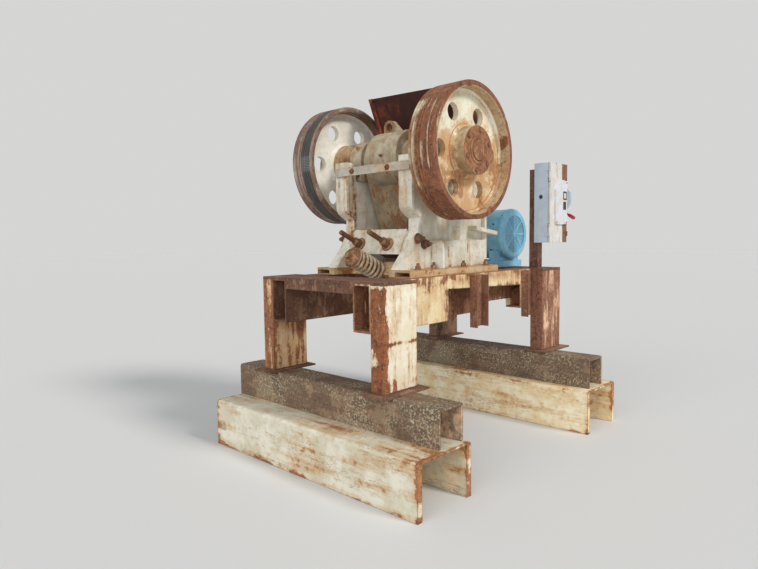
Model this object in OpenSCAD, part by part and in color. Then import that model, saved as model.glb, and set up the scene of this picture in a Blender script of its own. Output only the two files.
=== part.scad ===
// Jaw crusher on a welded steel stand with two channel skids.
// Millimetres. +Z up, +X along the crusher shaft, +Y from the toggle end to the jaw end.
// Origin: middle of the whole outline, on the floor.

/* [Skids] */
// Length of the lower skids
skid_length = 1944; // [1600:1:2400]
// Height of the lower skids
lower_height = 333; // [250:1:400]
// Width of the lower skids
lower_width = 491; // [400:1:600]
// Thickness of the lower skids' flanges
lower_wall = 40; // [12:1:50]
// Thickness of the lower skids' webs
lower_web = 16; // [12:1:30]
// Height of the upper skids
upper_height = 232; // [180:1:300]
// Width of the upper skids
upper_width = 232; // [180:1:300]
// Wall of the upper skids
upper_wall = 18; // [10:1:24]
// Outer faces of the two lower skids, across the stand
skid_spread = 2476; // [2200:1:2800]

/* [Stand] */
// Width of a leg channel
leg_width = 305; // [250:1:320]
// Depth of a leg channel's flanges
leg_depth = 108; // [80:1:120]
// Web and flange thickness of a leg
leg_wall = 13; // [8:1:20]
// Height of the stand's top above the floor
table_top = 1254; // [1150:1:1400]
// Thickness of the foot plates and cap plates
plate = 12; // [8:1:20]
// Height of the side beams
beam_height = 305; // [250:1:330]
// Width of the side beams
beam_width = 152; // [120:1:170]

/* [Crusher] */
// Middle plane of the crusher along X
mid_x = -65; // [-100:1:0]
// Inner width of the jaw chamber
chamber_width = 540; // [480:1:600]
// Length of the toggle adjusting screws
screw_length = 215; // [180:1:240]
// Thickness of the side walls
side_wall = 90; // [70:1:110]
// Shaft centre, along Y
shaft_y = -187; // [-200:1:-150]
// Shaft centre, above the floor
shaft_z = 2099; // [2050:1:2150]
// Diameter of the eccentric shaft
shaft_d = 140; // [110:1:160]
// Radius of the pitman barrel
barrel_r = 210; // [190:1:230]
// Number of turns of the tension spring
coils = 7; // [4:1:10]
// Wire diameter of the tension spring
wire_d = 22; // [14:1:28]
// Height of the hopper above the side walls
hopper_height = 380; // [300:1:500]

/* [Flywheels] */
// Outer radius of the flywheels
wheel_r = 458; // [430:1:480]
// Width of the rims
rim_width = 206; // [180:1:230]
// Radial thickness of the rims
rim_wall = 40; // [30:1:60]
// Radius of the flywheel hubs
hub_r = 162; // [120:1:180]
// Radius of the circle of web holes
hole_circle = 287; // [270:1:300]
// Radius of a web hole
hole_r = 58; // [40:1:65]
// Gap between the fixed belt and the turning rim
belt_gap = 5; // [5:0.5:8]

/* [Motor] */
// Motor axis, along Y
motor_y = 1120; // [1050:1:1180]
// Motor axis, above the floor
motor_z = 1543; // [1520:1:1570]
// Radius of the motor housing
motor_r = 218; // [190:1:222]

/* [Switch box] */
// Height of the box
box_height = 645; // [560:1:720]
// Width of the box along Y
box_width = 290; // [240:1:320]
// Depth of the box along X, without its door
box_depth = 124; // [100:1:150]
// Side of the square post
post = 76; // [60:1:90]

/* [Hidden] */
$fn = 64;
lap = 0.3;
centre_y = 52;
skid_y = skid_spread / 2 - lower_width;
upper_z = lower_height;
foot_z = lower_height + upper_height;
leg_z = foot_z + plate;
leg_top = table_top - plate;
leg_x = 532;
leg_y_rear = -1015;
leg_y_front = 905;
left_x = -553;
beam_x = leg_x - leg_depth - beam_width;
beam_z = leg_top - beam_height;
beam_end = leg_y_front + leg_width;
deck_z = table_top;
base_h = 50;
wall_in = chamber_width / 2;
wall_out = wall_in + side_wall;
frame_z = deck_z + base_h;
rear_y = -485;
wheel_right = mid_x + 687;
wheel_left = mid_x - 687;

// Lengths are measured from the middle of the skids; the origin is the middle of the whole outline.
module placed() {
    translate([0, -centre_y, 0]) children();
}

// A flat profile drawn in (Y, Z) and made solid from x0 to x1.
module slab(x0, x1) {
    translate([min(x0, x1), 0, 0]) rotate([90, 0, 90]) linear_extrude(abs(x1 - x0)) children();
}

// A flat profile drawn in (X, Z) and made solid over the given thickness, from y towards +Y.
module sheet(y, thickness) {
    translate([0, y + thickness, 0]) rotate([90, 0, 0]) linear_extrude(thickness) children();
}

// A ring or disc about an axis parallel to X.
module disc(x0, x1, r, y = shaft_y, z = shaft_z) {
    translate([min(x0, x1), y, z]) rotate([0, 90, 0]) cylinder(h = abs(x1 - x0), r = r);
}

// Outline of a channel lying with its web on top, corners rounded outside.
module channel_outline(width, height, wall, web, corner) {
    difference() {
        union() {
            square([width, height - corner]);
            translate([corner, 0]) square([width - 2 * corner, height]);
            translate([corner, height - corner]) circle(corner);
            translate([width - corner, height - corner]) circle(corner);
        }
        translate([wall, -1]) square([width - 2 * wall, height - web + 1]);
    }
}

// Puts its child's +Z axis along a line that falls towards +Y by the given angle.
module inclined(y, z, angle) {
    translate([0, y, z]) rotate([-90 - angle, 0, 0]) children();
}

module skid(x0, x1, y, z, width, height, wall, web, corner) {
    translate([0, y, z]) slab(x0, x1) channel_outline(width, height, wall, web, corner);
}

module skid_lower_rear() {
    color("silver") placed() skid(-skid_length / 2, skid_length / 2, -skid_spread / 2, 0,
        lower_width, lower_height, lower_wall, lower_web, 28);
}

module skid_lower_front() {
    color("silver") placed() skid(-skid_length / 2, skid_length / 2 + 33, skid_y, 0,
        lower_width, lower_height, lower_wall, lower_web, 28);
}

module skid_upper_rear() {
    color("dimgray") placed() skid(-993, 937, -1010, upper_z,
        upper_width, upper_height, upper_wall, upper_wall, 22);
}

module skid_upper_front() {
    color("dimgray") placed() skid(-993, 968, 842, upper_z,
        upper_width, upper_height, upper_wall, upper_wall, 22);
}

module foot_plate(x, y) {
    translate([x, y, foot_z]) cube([191, 420, plate]);
}

module foot_plates() {
    color("saddlebrown") placed() for (y = [-1082, 842]) {
        foot_plate(407, y);
        foot_plate(-702, y);
    }
}

// A standing channel with its web towards +X.
module leg(x, y) {
    translate([x - leg_depth, y, leg_z]) linear_extrude(leg_top - leg_z) difference() {
        square([leg_depth, leg_width]);
        translate([-1, leg_wall]) square([leg_depth - leg_wall + 1, leg_width - 2 * leg_wall]);
    }
}

module leg_rear_left() {
    color("chocolate") placed() leg(left_x, leg_y_rear);
}

module leg_rear_right() {
    color("ivory") placed() leg(leg_x, leg_y_rear);
}

module leg_front_left() {
    color("chocolate") placed() leg(left_x, leg_y_front);
}

module leg_front_right() {
    color("sienna") placed() leg(leg_x, leg_y_front);
}

// Box section of a side beam, drawn in (X, Z).
module beam_tube(x, y0, y1) {
    sheet(y0, y1 - y0) translate([x, beam_z]) difference() {
        square([beam_width, beam_height]);
        translate([leg_wall, leg_wall]) square([beam_width - 2 * leg_wall, beam_height - 2 * leg_wall]);
    }
}

// Flat strip that closes the top of a side beam between the cap plates.
module top_strip(x) {
    translate([x, leg_y_rear + leg_width, leg_top])
        cube([beam_width, leg_y_front - leg_y_rear - leg_width, plate]);
}

module side_beam_left() {
    color("chocolate") placed() {
        beam_tube(left_x, leg_y_rear, beam_end);
        top_strip(left_x);
    }
}

// The outer wall and floor of this beam are cut away with a torch behind the rear leg,
// and the inner wall is cut away to inner_cut_z further on, in front of a sloping plate.
cut_from = -232;
cut_to = 745;
cut_z = 1160;
cut_fall = 30;
inner_cut_from = 300;
inner_cut_z = 1010;
plate_y = 838;
module side_beam_right() {
    color("wheat") placed() {
        difference() {
            beam_tube(beam_x, leg_y_rear, beam_end);
            slab(beam_x + leg_wall, beam_x + beam_width + 1) polygon([
                [cut_from, beam_z - 1], [cut_to, beam_z - 1],
                [cut_to, cut_z - cut_fall], [cut_from, cut_z]]);
            translate([beam_x - 1, inner_cut_from, beam_z - 1])
                cube([leg_wall + 3, plate_y - inner_cut_from, inner_cut_z - beam_z + 1]);
        }
        top_strip(beam_x);
        sheet(plate_y, 12) polygon([[beam_x - 45, beam_z + 1], [beam_x + beam_width - leg_wall, beam_z + 1],
            [beam_x + beam_width - leg_wall, beam_z + 201], [beam_x - 45, beam_z + 95]]);
    }
}

// Cross beam between the side beams, with a cap plate over the legs.
module cross_beam(y) {
    x0 = left_x + beam_width;
    translate([0, y, 0]) {
        translate([left_x - leg_depth, 0, leg_top]) cube([leg_x - left_x + leg_depth, leg_width, plate]);
        for (dy = [0, leg_width - plate])
            translate([x0, dy, leg_top - 68]) cube([beam_x - x0, plate, 68]);
    }
}

module cross_beam_rear() {
    color("sienna") placed() cross_beam(leg_y_rear);
}

module cross_beam_front() {
    color("sienna") placed() cross_beam(leg_y_front);
}

// Short channel standing against the side beam, open towards +X.
module hanging_channel(y0, width, depth, z0) {
    x0 = leg_x - leg_depth;
    translate([x0, y0, z0]) linear_extrude(leg_top - z0) difference() {
        square([depth, width]);
        translate([9, 9]) square([depth, width - 18]);
    }
}

module drop_channel() {
    color("sienna") placed() difference() {
        hanging_channel(30, 150, 62, 860);
        translate([leg_x - leg_depth - 5, 105, 905]) rotate([0, 90, 0]) cylinder(h = 30, d = 30);
    }
}

module stub_channel() {
    color("sienna") placed() difference() {
        hanging_channel(755, 150, 62, 867);
        translate([leg_x - leg_depth + 36, 745, 912]) rotate([-90, 0, 0]) cylinder(h = 30, d = 30);
    }
}

base_rear = -610;
base_front = 450;
rod_angle = 23;
rod_y = -430;
rod_z = 1283;
rod_d = 30;
// A point on the spring's seat face, dz above the rod's axis, square to the rod.
function spring_seat(dz) = [rod_y + dz * tan(rod_angle), rod_z + dz];
// Rails under the side frames, joined by the spring seat at the rear and a tie at the front.
module crusher_base() {
    color("wheat") placed() {
        for (s = [-1, 1]) difference() {
            translate([mid_x + s * (wall_in + 95) - 95, base_rear, deck_z])
                cube([190, base_front - base_rear, base_h]);
            translate([mid_x + s * (wall_in + 122) - 62, base_rear - 1, deck_z + 8])
                cube([124, 140, 26]);
        }
        difference() {
            slab(mid_x - wall_in, mid_x + wall_in) polygon([
                spring_seat(-29), [-330, deck_z], [-330, deck_z + 96], spring_seat(67)]);
            translate([mid_x, 0, 0]) inclined(rod_y - 200, rod_z + 200 * tan(rod_angle), rod_angle)
                cylinder(h = 600, d = rod_d + 8);
        }
        translate([mid_x - wall_in, base_front - 100, deck_z]) cube([chamber_width, 100, base_h]);
    }
}

bearing_z = 1950;
horn_z = 2085;
// Outline of a side wall in (Y, Z), with the waist above the toggle block.
// Rear edge of a wall in (Y, Z), from the horn down round the bulge to the neck.
bulge = [[rear_y, horn_z], [rear_y, 1750], [rear_y + 5, 1728], [rear_y + 18, 1708],
    [rear_y + 38, 1690], [rear_y + 62, 1675], [rear_y + 88, 1659]];
module side_outline() {
    polygon(concat(bulge, [[-402, 1560],
        [-470, 1440], [-509, 1397], [-575, 1325], [-590, frame_z], [440, frame_z], [440, 1700],
        [400, hopper_z], [60, hopper_z], [0, 2100], [0, bearing_z], [-372, bearing_z], [-390, horn_z]]));
}

// Sunk panel inside the wall's edge flanges.
panel_depth = 30;
module side_panel() {
    polygon([[rear_y + 25, 1757], [rear_y + 25, 1915], [30, 1915], [30, 2090], [85, 2200],
        [372, 2200], [412, 1700], [412, 1500], [-377, 1500], [-377, 1678], [rear_y + 53, 1710]]);
}

// Flange along the rear edge, a little wider than the wall on both sides.
module rear_flange() {
    polygon(concat(bulge, [[rear_y + 101, 1681], [rear_y + 74, 1696], [rear_y + 53, 1710],
        [rear_y + 38, 1726], [rear_y + 26, 1752], [rear_y + 25, horn_z]]));
}

// One side frame; s is 1 for the +X side and -1 for the -X side.
module side_frame(s) {
    inner = mid_x + s * wall_in;
    outer = inner + s * side_wall;
    difference() {
        slab(inner, outer) side_outline();
        slab(outer - s * panel_depth, outer + s) side_panel();
    }
    slab(inner - s * 13, outer + s * 15) rear_flange();
    sheet(-257, 24) polygon([[outer, frame_z], [outer + s * 100, frame_z], [outer + s * 100, 1433],
        [outer + s * 92, 1485], [outer + s * 79, 1497], [outer, 1470]]);
    slab(outer - s * panel_depth, outer + s * 50) polygon([
        [230, 1575], [515, 1533], [521, 1563], [230, 1606]]);
}

module side_frame_left() {
    color("ivory") placed() side_frame(-1);
}

// The +X wall has a narrow slot near its front end.
module side_frame_right() {
    color("ivory") placed() difference() {
        side_frame(1);
        translate([mid_x + wall_out - 12, 178, 1400]) cube([20, 6, 75]);
    }
}

module front_frame() {
    color("wheat") placed() {
        translate([mid_x - wall_in, 340, frame_z]) cube([chamber_width, 90, 930]);
        for (z = [1420, 1760, 2100])
            translate([mid_x - wall_in, 430, z]) cube([chamber_width, 60, 40]);
    }
}

module fixed_jaw() {
    color("gray") placed() slab(mid_x - wall_in + 10, mid_x + wall_in - 10)
        polygon([[340, 1340], [340, 2220], [290, 2220], [290, 1340]]);
}

toggle_seat = -130;
eye_x = mid_x - 75;
eye_z = shaft_z + barrel_r + 37;
module pitman() {
    color("wheat") placed() {
        difference() {
            union() {
                disc(mid_x - 155, mid_x + 155, barrel_r);
                disc(mid_x - 225, mid_x + 225, 150);
                slab(mid_x - 225, mid_x + 225) polygon([
                    [-330, 2050], [-150, 1560], [toggle_seat, 1420], [toggle_seat, 1340],
                    [-190, 1210], [-170, 1130], [-60, 1130], [80, 1200], [190, 1300],
                    [60, 2000], [0, 2100]]);
            }
            disc(mid_x - 250, mid_x + 250, shaft_d / 2 + 12);
            translate([mid_x, 0, 0]) inclined(rod_y, rod_z, rod_angle) cylinder(h = rod_end, d = rod_d);
        }
        sheet(shaft_y - 25, 50) translate([eye_x, eye_z]) difference() {
            union() {
                circle(52);
                polygon([[-52, 0], [-52, -48], [104, -48], [104, -34], [36, 37]]);
            }
            circle(30);
        }
    }
}

module swing_jaw() {
    color("gray") placed() slab(mid_x - 240, mid_x + 240)
        polygon([[60, 2000], [190, 1300], [235, 1300], [105, 2200], [60, 2200]]);
}

toggle_angle = 25;
// Outer face square to the adjusting rods, a hair clear of their feet.
module toggle_block() {
    square_on = [sin(toggle_angle), cos(toggle_angle)];
    foot = [-665, 1566] + (screw_length + 0.1) * [cos(toggle_angle), -sin(toggle_angle)];
    color("ivory") placed() slab(mid_x - wall_in, mid_x + wall_in)
        polygon([foot + 119 * square_on, foot - 75 * square_on, [-330, 1400], [-330, 1510]]);
}

module toggle_plate() {
    color("gray") placed() slab(mid_x - 200, mid_x + 200)
        polygon([[-330, 1492], [-330, 1457], [toggle_seat, 1364], [toggle_seat, 1399]]);
}

// Each rod stands square on the toggle block's sloping face.
module adjusting_rods() {
    color("brown") placed() for (x = [mid_x - 138, mid_x + 138])
        translate([x, 0, 0]) inclined(-665, 1566, toggle_angle) {
            cylinder(h = screw_length, d = 34);
            translate([0, 0, screw_length - 50]) cylinder(h = 40, d = 62, $fn = 6);
        }
}

spring_length = 276;
rod_end = 285;
module tension_rod() {
    color("brown") placed() translate([mid_x, 0, 0]) inclined(rod_y, rod_z, rod_angle) {
        translate([0, 0, -spring_length - 56]) cylinder(h = spring_length + 56 + rod_end, d = rod_d);
        translate([0, 0, -spring_length - 36]) cylinder(h = 36, d1 = 92, d2 = 150);
    }
}

// Cut through one turn of wire, square to the spring's axis: a long arc that the twist
// of the extrusion carries round into a helix of round wire.
module wire_section(radius, pitch) {
    reach = 180 * wire_d / pitch;
    polygon([for (t = [0 : 18 : 342])
        (radius + wire_d / 2 * cos(t)) * [cos(reach * sin(t)), sin(reach * sin(t))]]);
}

module tension_spring() {
    pitch = spring_length / coils;
    color("peru") placed() translate([mid_x, 0, 0]) inclined(rod_y, rod_z, rod_angle)
        translate([0, 0, -spring_length])
        linear_extrude(spring_length, twist = -360 * coils, slices = 18 * coils, $fn = 20)
        wire_section(64, pitch);
}

module bearing(s) {
    x0 = mid_x + s * 235;
    x1 = mid_x + s * 355;
    difference() {
        union() {
            disc(x0, x1, 170);
            slab(x0, x1) polygon([
                [-357, bearing_z], [-17, bearing_z], [-17, shaft_z], [-357, shaft_z]]);
        }
        disc(x0 - s, x1 + s, shaft_d / 2 + lap);
        translate([min(x0, x1) - 1, -400, bearing_z - 60]) cube([122, 420, 60]);
    }
}

module bearing_left() {
    color("wheat") placed() bearing(-1);
}

module bearing_right() {
    color("wheat") placed() bearing(1);
}

module rear_bar() {
    color("ivory") placed() translate([mid_x - 366, rear_y - 15, 1980]) cube([732, 15, 61]);
}

hopper_z = 2240;
hopper_top = hopper_z + hopper_height;
// Height at which the side walls of the hopper start to lean back.
hopper_bend = hopper_z + hopper_height * 6 / 19;
// Half width of the hopper, and the slope of its top edge down towards +X.
hopper_half = 395;
hopper_lean = 1.6;
// Four walls with narrow flanges along both rear corners.
module hopper_walls() {
    for (s = [-1, 1]) {
        slab(mid_x + s * hopper_half, mid_x + s * (hopper_half - 8)) polygon([
            [10, hopper_z], [440, hopper_z], [520, hopper_top], [-103, hopper_top], [10, hopper_bend]]);
        slab(mid_x + s * hopper_half, mid_x + s * (hopper_half - 44)) polygon([
            [10, hopper_z], [18, hopper_z], [18, hopper_bend + 2], [-94, hopper_top], [-103, hopper_top],
            [10, hopper_bend]]);
    }
    slab(mid_x - hopper_half + 4, mid_x + hopper_half - 4) polygon([
        [16, hopper_z], [24, hopper_z], [24, hopper_bend + 4], [-87, hopper_top], [-96, hopper_top],
        [16, hopper_bend + 2]]);
    slab(mid_x - hopper_half + 4, mid_x + hopper_half - 4) polygon([
        [425, hopper_z], [433, hopper_z], [510, hopper_top], [502, hopper_top]]);
}

module hopper() {
    color("maroon") placed() {
        translate([mid_x - hopper_half, 10, hopper_z]) difference() {
            cube([2 * hopper_half, 430, 8]);
            translate([hopper_half - 270, 50, -1]) cube([540, 360, 10]);
        }
        difference() {
            hopper_walls();
            translate([mid_x - hopper_half, -200, hopper_top]) rotate([0, hopper_lean, 0])
                translate([-50, 0, 0]) cube([2 * hopper_half + 100, 900, 100]);
        }
    }
}

module eccentric_shaft() {
    color("gray") placed() disc(wheel_left - 28, wheel_right + 28, shaft_d / 2);
}

// Half section of a flywheel, drawn as (radius, distance along the shaft from its middle).
// The hub stands proud of the rim by hub_proud on the side away from the crusher.
hub_proud = 20;
module wheel_section(belt_seat) {
    h = rim_width / 2;
    difference() {
        union() {
            translate([wheel_r - rim_wall, -h]) square([rim_wall, rim_width]);
            translate([hub_r - 5, -20]) square([wheel_r - rim_wall - hub_r + 10, 40]);
            translate([shaft_d / 2, -h]) square([hub_r - shaft_d / 2, rim_width]);
        }
        if (belt_seat) translate([wheel_r - 12 - belt_gap, -5]) square([30, 95]);
    }
    translate([shaft_d / 2, belt_seat ? -h - hub_proud : h - 1])
        square([hub_r - shaft_d / 2, hub_proud + 1]);
}

// Rounded grooves for the belts, on the half of the rim next to the crusher.
module belt_grooves() {
    for (i = [0 : 3]) translate([wheel_r - 9, -92 + 23 * i])
        polygon([[0, 5], [10, 0], [10, 15], [0, 10]]);
}

module flywheel(x, belt_seat) {
    translate([x, shaft_y, shaft_z]) rotate([0, 90, 0]) difference() {
        rotate_extrude() difference() {
            wheel_section(belt_seat);
            if (!belt_seat) belt_grooves();
        }
        for (a = [0 : 60 : 300]) rotate([0, 0, a + 90])
            translate([hole_circle, 0, -50]) cylinder(h = 100, r = hole_r);
    }
}

module flywheel_left() {
    color("chocolate") placed() flywheel(wheel_left + rim_width / 2, true);
}

module flywheel_right() {
    color("chocolate") placed() flywheel(wheel_right - rim_width / 2, false);
}

pulley_r = 130;
belt_x = wheel_left + rim_width / 2;
// Open belt loop round the left flywheel and the motor pulley, thickness added outside.
module belt_line(grow) {
    hull() {
        translate([shaft_y, shaft_z]) circle(wheel_r - 12 + grow, $fn = 96);
        translate([motor_y, motor_z]) circle(pulley_r + lap + grow, $fn = 48);
    }
}

module drive_belt() {
    color("black") placed() slab(belt_x, belt_x + 85) difference() {
        belt_line(12);
        belt_line(0);
    }
}

motor_x0 = mid_x - 380;
motor_x1 = mid_x + 165;
module motor_body() {
    color("steelblue") placed() {
        disc(motor_x0, motor_x1, motor_r, motor_y, motor_z);
        disc(belt_x - 10, motor_x0, 30, motor_y, motor_z);
        for (x = [motor_x0 + 30, motor_x1 - 110])
            translate([x, motor_y - 180, deck_z + 55]) cube([80, 360, 90]);
    }
}

// Pressed cover with a rounded edge and a sunk face for the air grille.
grille_r = 161;
cover_depth = 42;
module motor_fan_cover() {
    color("steelblue") placed() translate([motor_x1, motor_y, motor_z]) rotate([0, 90, 0])
        rotate_extrude() polygon([[0, 0], [motor_r + 5, 0], [motor_r + 5, cover_depth - 26],
            [motor_r + 1, cover_depth - 13], [motor_r - 9, cover_depth - 4], [motor_r - 22, cover_depth],
            [grille_r, cover_depth], [grille_r, cover_depth - 10], [0, cover_depth - 10]]);
}

module motor_base() {
    color("steelblue") placed() translate([motor_x0, motor_y - 190, deck_z])
        cube([motor_x1 - motor_x0, 380, 55]);
}

module motor_pulley() {
    color("dimgray") placed() difference() {
        disc(belt_x - 10, belt_x + 95, pulley_r, motor_y, motor_z);
        disc(belt_x - 11, belt_x + 96, 30, motor_y, motor_z);
    }
}

module terminal_box() {
    color("steelblue") placed() difference() {
        translate([motor_x1 - 112, motor_y - motor_r - 2, motor_z + 41]) cube([110, 100, 104]);
        disc(motor_x1 - 201, motor_x1, motor_r, motor_y, motor_z);
        translate([motor_x1 - 41, motor_y - motor_r - 3, motor_z + 85]) rotate([-90, 0, 0])
            cylinder(h = 13, r = 10);
    }
}

post_x = 454 - post;
box_z = 1468;
module switch_post() {
    color("sienna") placed() translate([post_x, 960, deck_z]) difference() {
        cube([post, post, box_z + box_height - deck_z - 40]);
        translate([5, 5, -1]) cube([post - 10, post - 10, 900]);
    }
}

box_x = 454;
box_y = 900;
handle_x = box_x + 70;
handle_z = 1745;
handle_droop = 32;
door_gap = 5;
door_t = 14;
hinge_r = 7;
hinge_h = 60;
pin_r = 3;
door_x = box_x + box_depth + door_gap;
hinge_z = [box_z + 70, box_z + box_height - 130];
// Round the hinge line, from dz above a hinge's foot.
module knuckle(z, dz, h, r) {
    translate([door_x + hinge_r, box_y, z + dz]) cylinder(h = h, r = r);
}

// Guard plate beside the handle, standing off the box on a foot.
module handle_guard() {
    sheet(box_y + box_width, 7.5) translate([handle_x - 50, handle_z - 50]) square([100, 100]);
    sheet(box_y + box_width + 7, 6) translate([handle_x, handle_z])
        polygon([[-50, -50], [40, -50], [108, 52], [108, 136], [78, 158], [-50, 90]]);
}

// The box carries a pin and two outer knuckles at each hinge.
module switch_box() {
    color("lightgray") placed() {
        difference() {
            union() {
                difference() {
                    translate([box_x, box_y, box_z]) cube([box_depth, box_width, box_height]);
                    translate([box_x + 3, box_y + 3, box_z + 3])
                        cube([box_depth, box_width - 6, box_height - 6]);
                }
                handle_guard();
            }
            translate([handle_x, box_y + box_width - 10, handle_z]) rotate([-90, 0, 0])
                cylinder(h = 30, r = 8 + lap);
        }
        for (z = hinge_z) {
            knuckle(z, -20, hinge_h + 40, pin_r);
            for (dz = [-20, hinge_h + 2]) {
                knuckle(z, dz, 18, hinge_r);
                translate([door_x - 30, box_y - 3, z + dz]) cube([30 + hinge_r, 3.5, 18]);
            }
        }
    }
}

// Outline of the raised cover on the door, in (Y, Z).
module door_cover() {
    translate([box_y, box_z]) polygon([[74, 170], [80, 155], [96, 148], [254, 148], [268, 154], [274, 168],
        [274, 505], [138, 515], [74, 430]]);
}

module switch_door() {
    color("white") placed() difference() {
        union() {
            translate([door_x, box_y, box_z]) cube([door_t, box_width, box_height]);
            slab(door_x + door_t - 1, door_x + door_t + 13) door_cover();
            for (z = hinge_z) knuckle(z, 0, hinge_h, hinge_r);
        }
        for (z = hinge_z) {
            knuckle(z, -1, hinge_h + 2, pin_r + lap);
            for (dz = [-22, hinge_h]) knuckle(z, dz, 22, hinge_r + 2);
        }
    }
}

module switch_handle() {
    color("red") placed() translate([handle_x, box_y + box_width, handle_z]) rotate([-90, 0, 0]) {
        translate([0, 0, -12]) cylinder(h = 32, r = 8);
        translate([0, 0, 19]) cylinder(h = 14, r = 26);
        rotate([0, 0, handle_droop]) {
            translate([0, -10, 28]) cube([100, 20, 12]);
            translate([82, -15, 26]) cube([70, 30, 18]);
        }
    }
}

skid_lower_rear();
skid_lower_front();
skid_upper_rear();
skid_upper_front();
foot_plates();
leg_rear_left();
leg_rear_right();
leg_front_left();
leg_front_right();
side_beam_left();
side_beam_right();
cross_beam_rear();
cross_beam_front();
drop_channel();
stub_channel();
crusher_base();
side_frame_left();
side_frame_right();
front_frame();
fixed_jaw();
pitman();
swing_jaw();
toggle_block();
toggle_plate();
adjusting_rods();
tension_rod();
tension_spring();
bearing_left();
bearing_right();
rear_bar();
hopper();
eccentric_shaft();
flywheel_left();
flywheel_right();
drive_belt();
motor_body();
motor_fan_cover();
motor_base();
motor_pulley();
terminal_box();
switch_post();
switch_box();
switch_door();
switch_handle();
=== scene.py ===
import math

import bmesh
import bpy
from mathutils import Matrix, Vector


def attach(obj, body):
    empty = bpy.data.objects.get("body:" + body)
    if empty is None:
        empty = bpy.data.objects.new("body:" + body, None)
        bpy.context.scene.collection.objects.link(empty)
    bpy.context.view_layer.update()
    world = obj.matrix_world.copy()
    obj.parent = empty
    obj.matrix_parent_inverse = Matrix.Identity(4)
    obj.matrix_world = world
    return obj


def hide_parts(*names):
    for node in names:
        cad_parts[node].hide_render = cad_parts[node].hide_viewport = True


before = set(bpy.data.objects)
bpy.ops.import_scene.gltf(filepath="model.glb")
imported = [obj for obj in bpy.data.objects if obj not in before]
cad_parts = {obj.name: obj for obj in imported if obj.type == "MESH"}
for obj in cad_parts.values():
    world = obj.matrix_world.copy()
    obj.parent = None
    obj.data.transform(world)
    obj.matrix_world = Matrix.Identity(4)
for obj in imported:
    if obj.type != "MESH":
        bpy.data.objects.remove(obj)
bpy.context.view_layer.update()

# Jaw crusher on its stand: camera, light, coats and the small pieces that the castings carry.
# Lengths in the dictionaries are millimetres from the middle of the skids, as in the CAD source;
# at() turns a place into the frame's metres.

originShift = 52  # the frame's origin is this far along +Y from the middle of the skids


def at(x, y, z):
    return Vector((x, y - originShift, z)) / 1000


def linear(value):
    share = value / 255
    return share / 12.92 if share <= 0.04045 else ((share + 0.055) / 1.055) ** 2.4


def tone(color):
    return (*map(linear, color), 1.0)


# Camera

cameraLook = {"place": (2963, -3617, 1522), "turn": 43.4497, "tilt": -4.4131, "roll": -0.6722, "lens": 28.68,
              "sensor": 36, "far": 200}


def makeCamera(look):
    turn, tilt, roll = (math.radians(look[key]) for key in ("turn", "tilt", "roll"))
    ahead = Matrix.Rotation(turn, 3, "Z") @ Matrix.Rotation(tilt, 3, "X") @ Vector((0, 1, 0))
    level = Matrix.Rotation(turn, 3, "Z") @ Vector((1, 0, 0))
    upright = level.cross(ahead)
    right = level * math.cos(roll) + upright * math.sin(roll)
    up = upright * math.cos(roll) - level * math.sin(roll)
    data = bpy.data.cameras.new("camera")
    data.sensor_width = look["sensor"]
    data.lens = look["lens"]
    data.clip_end = look["far"]
    camera = bpy.data.objects.new("camera", data)
    turned = Matrix((right, up, -ahead)).transposed().to_4x4()
    camera.matrix_world = Matrix.Translation(at(*look["place"])) @ turned
    bpy.context.scene.collection.objects.link(camera)
    bpy.context.scene.camera = camera


makeCamera(cameraLook)
print("camera set")


# Shader bench: short words for wiring nodes

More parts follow.
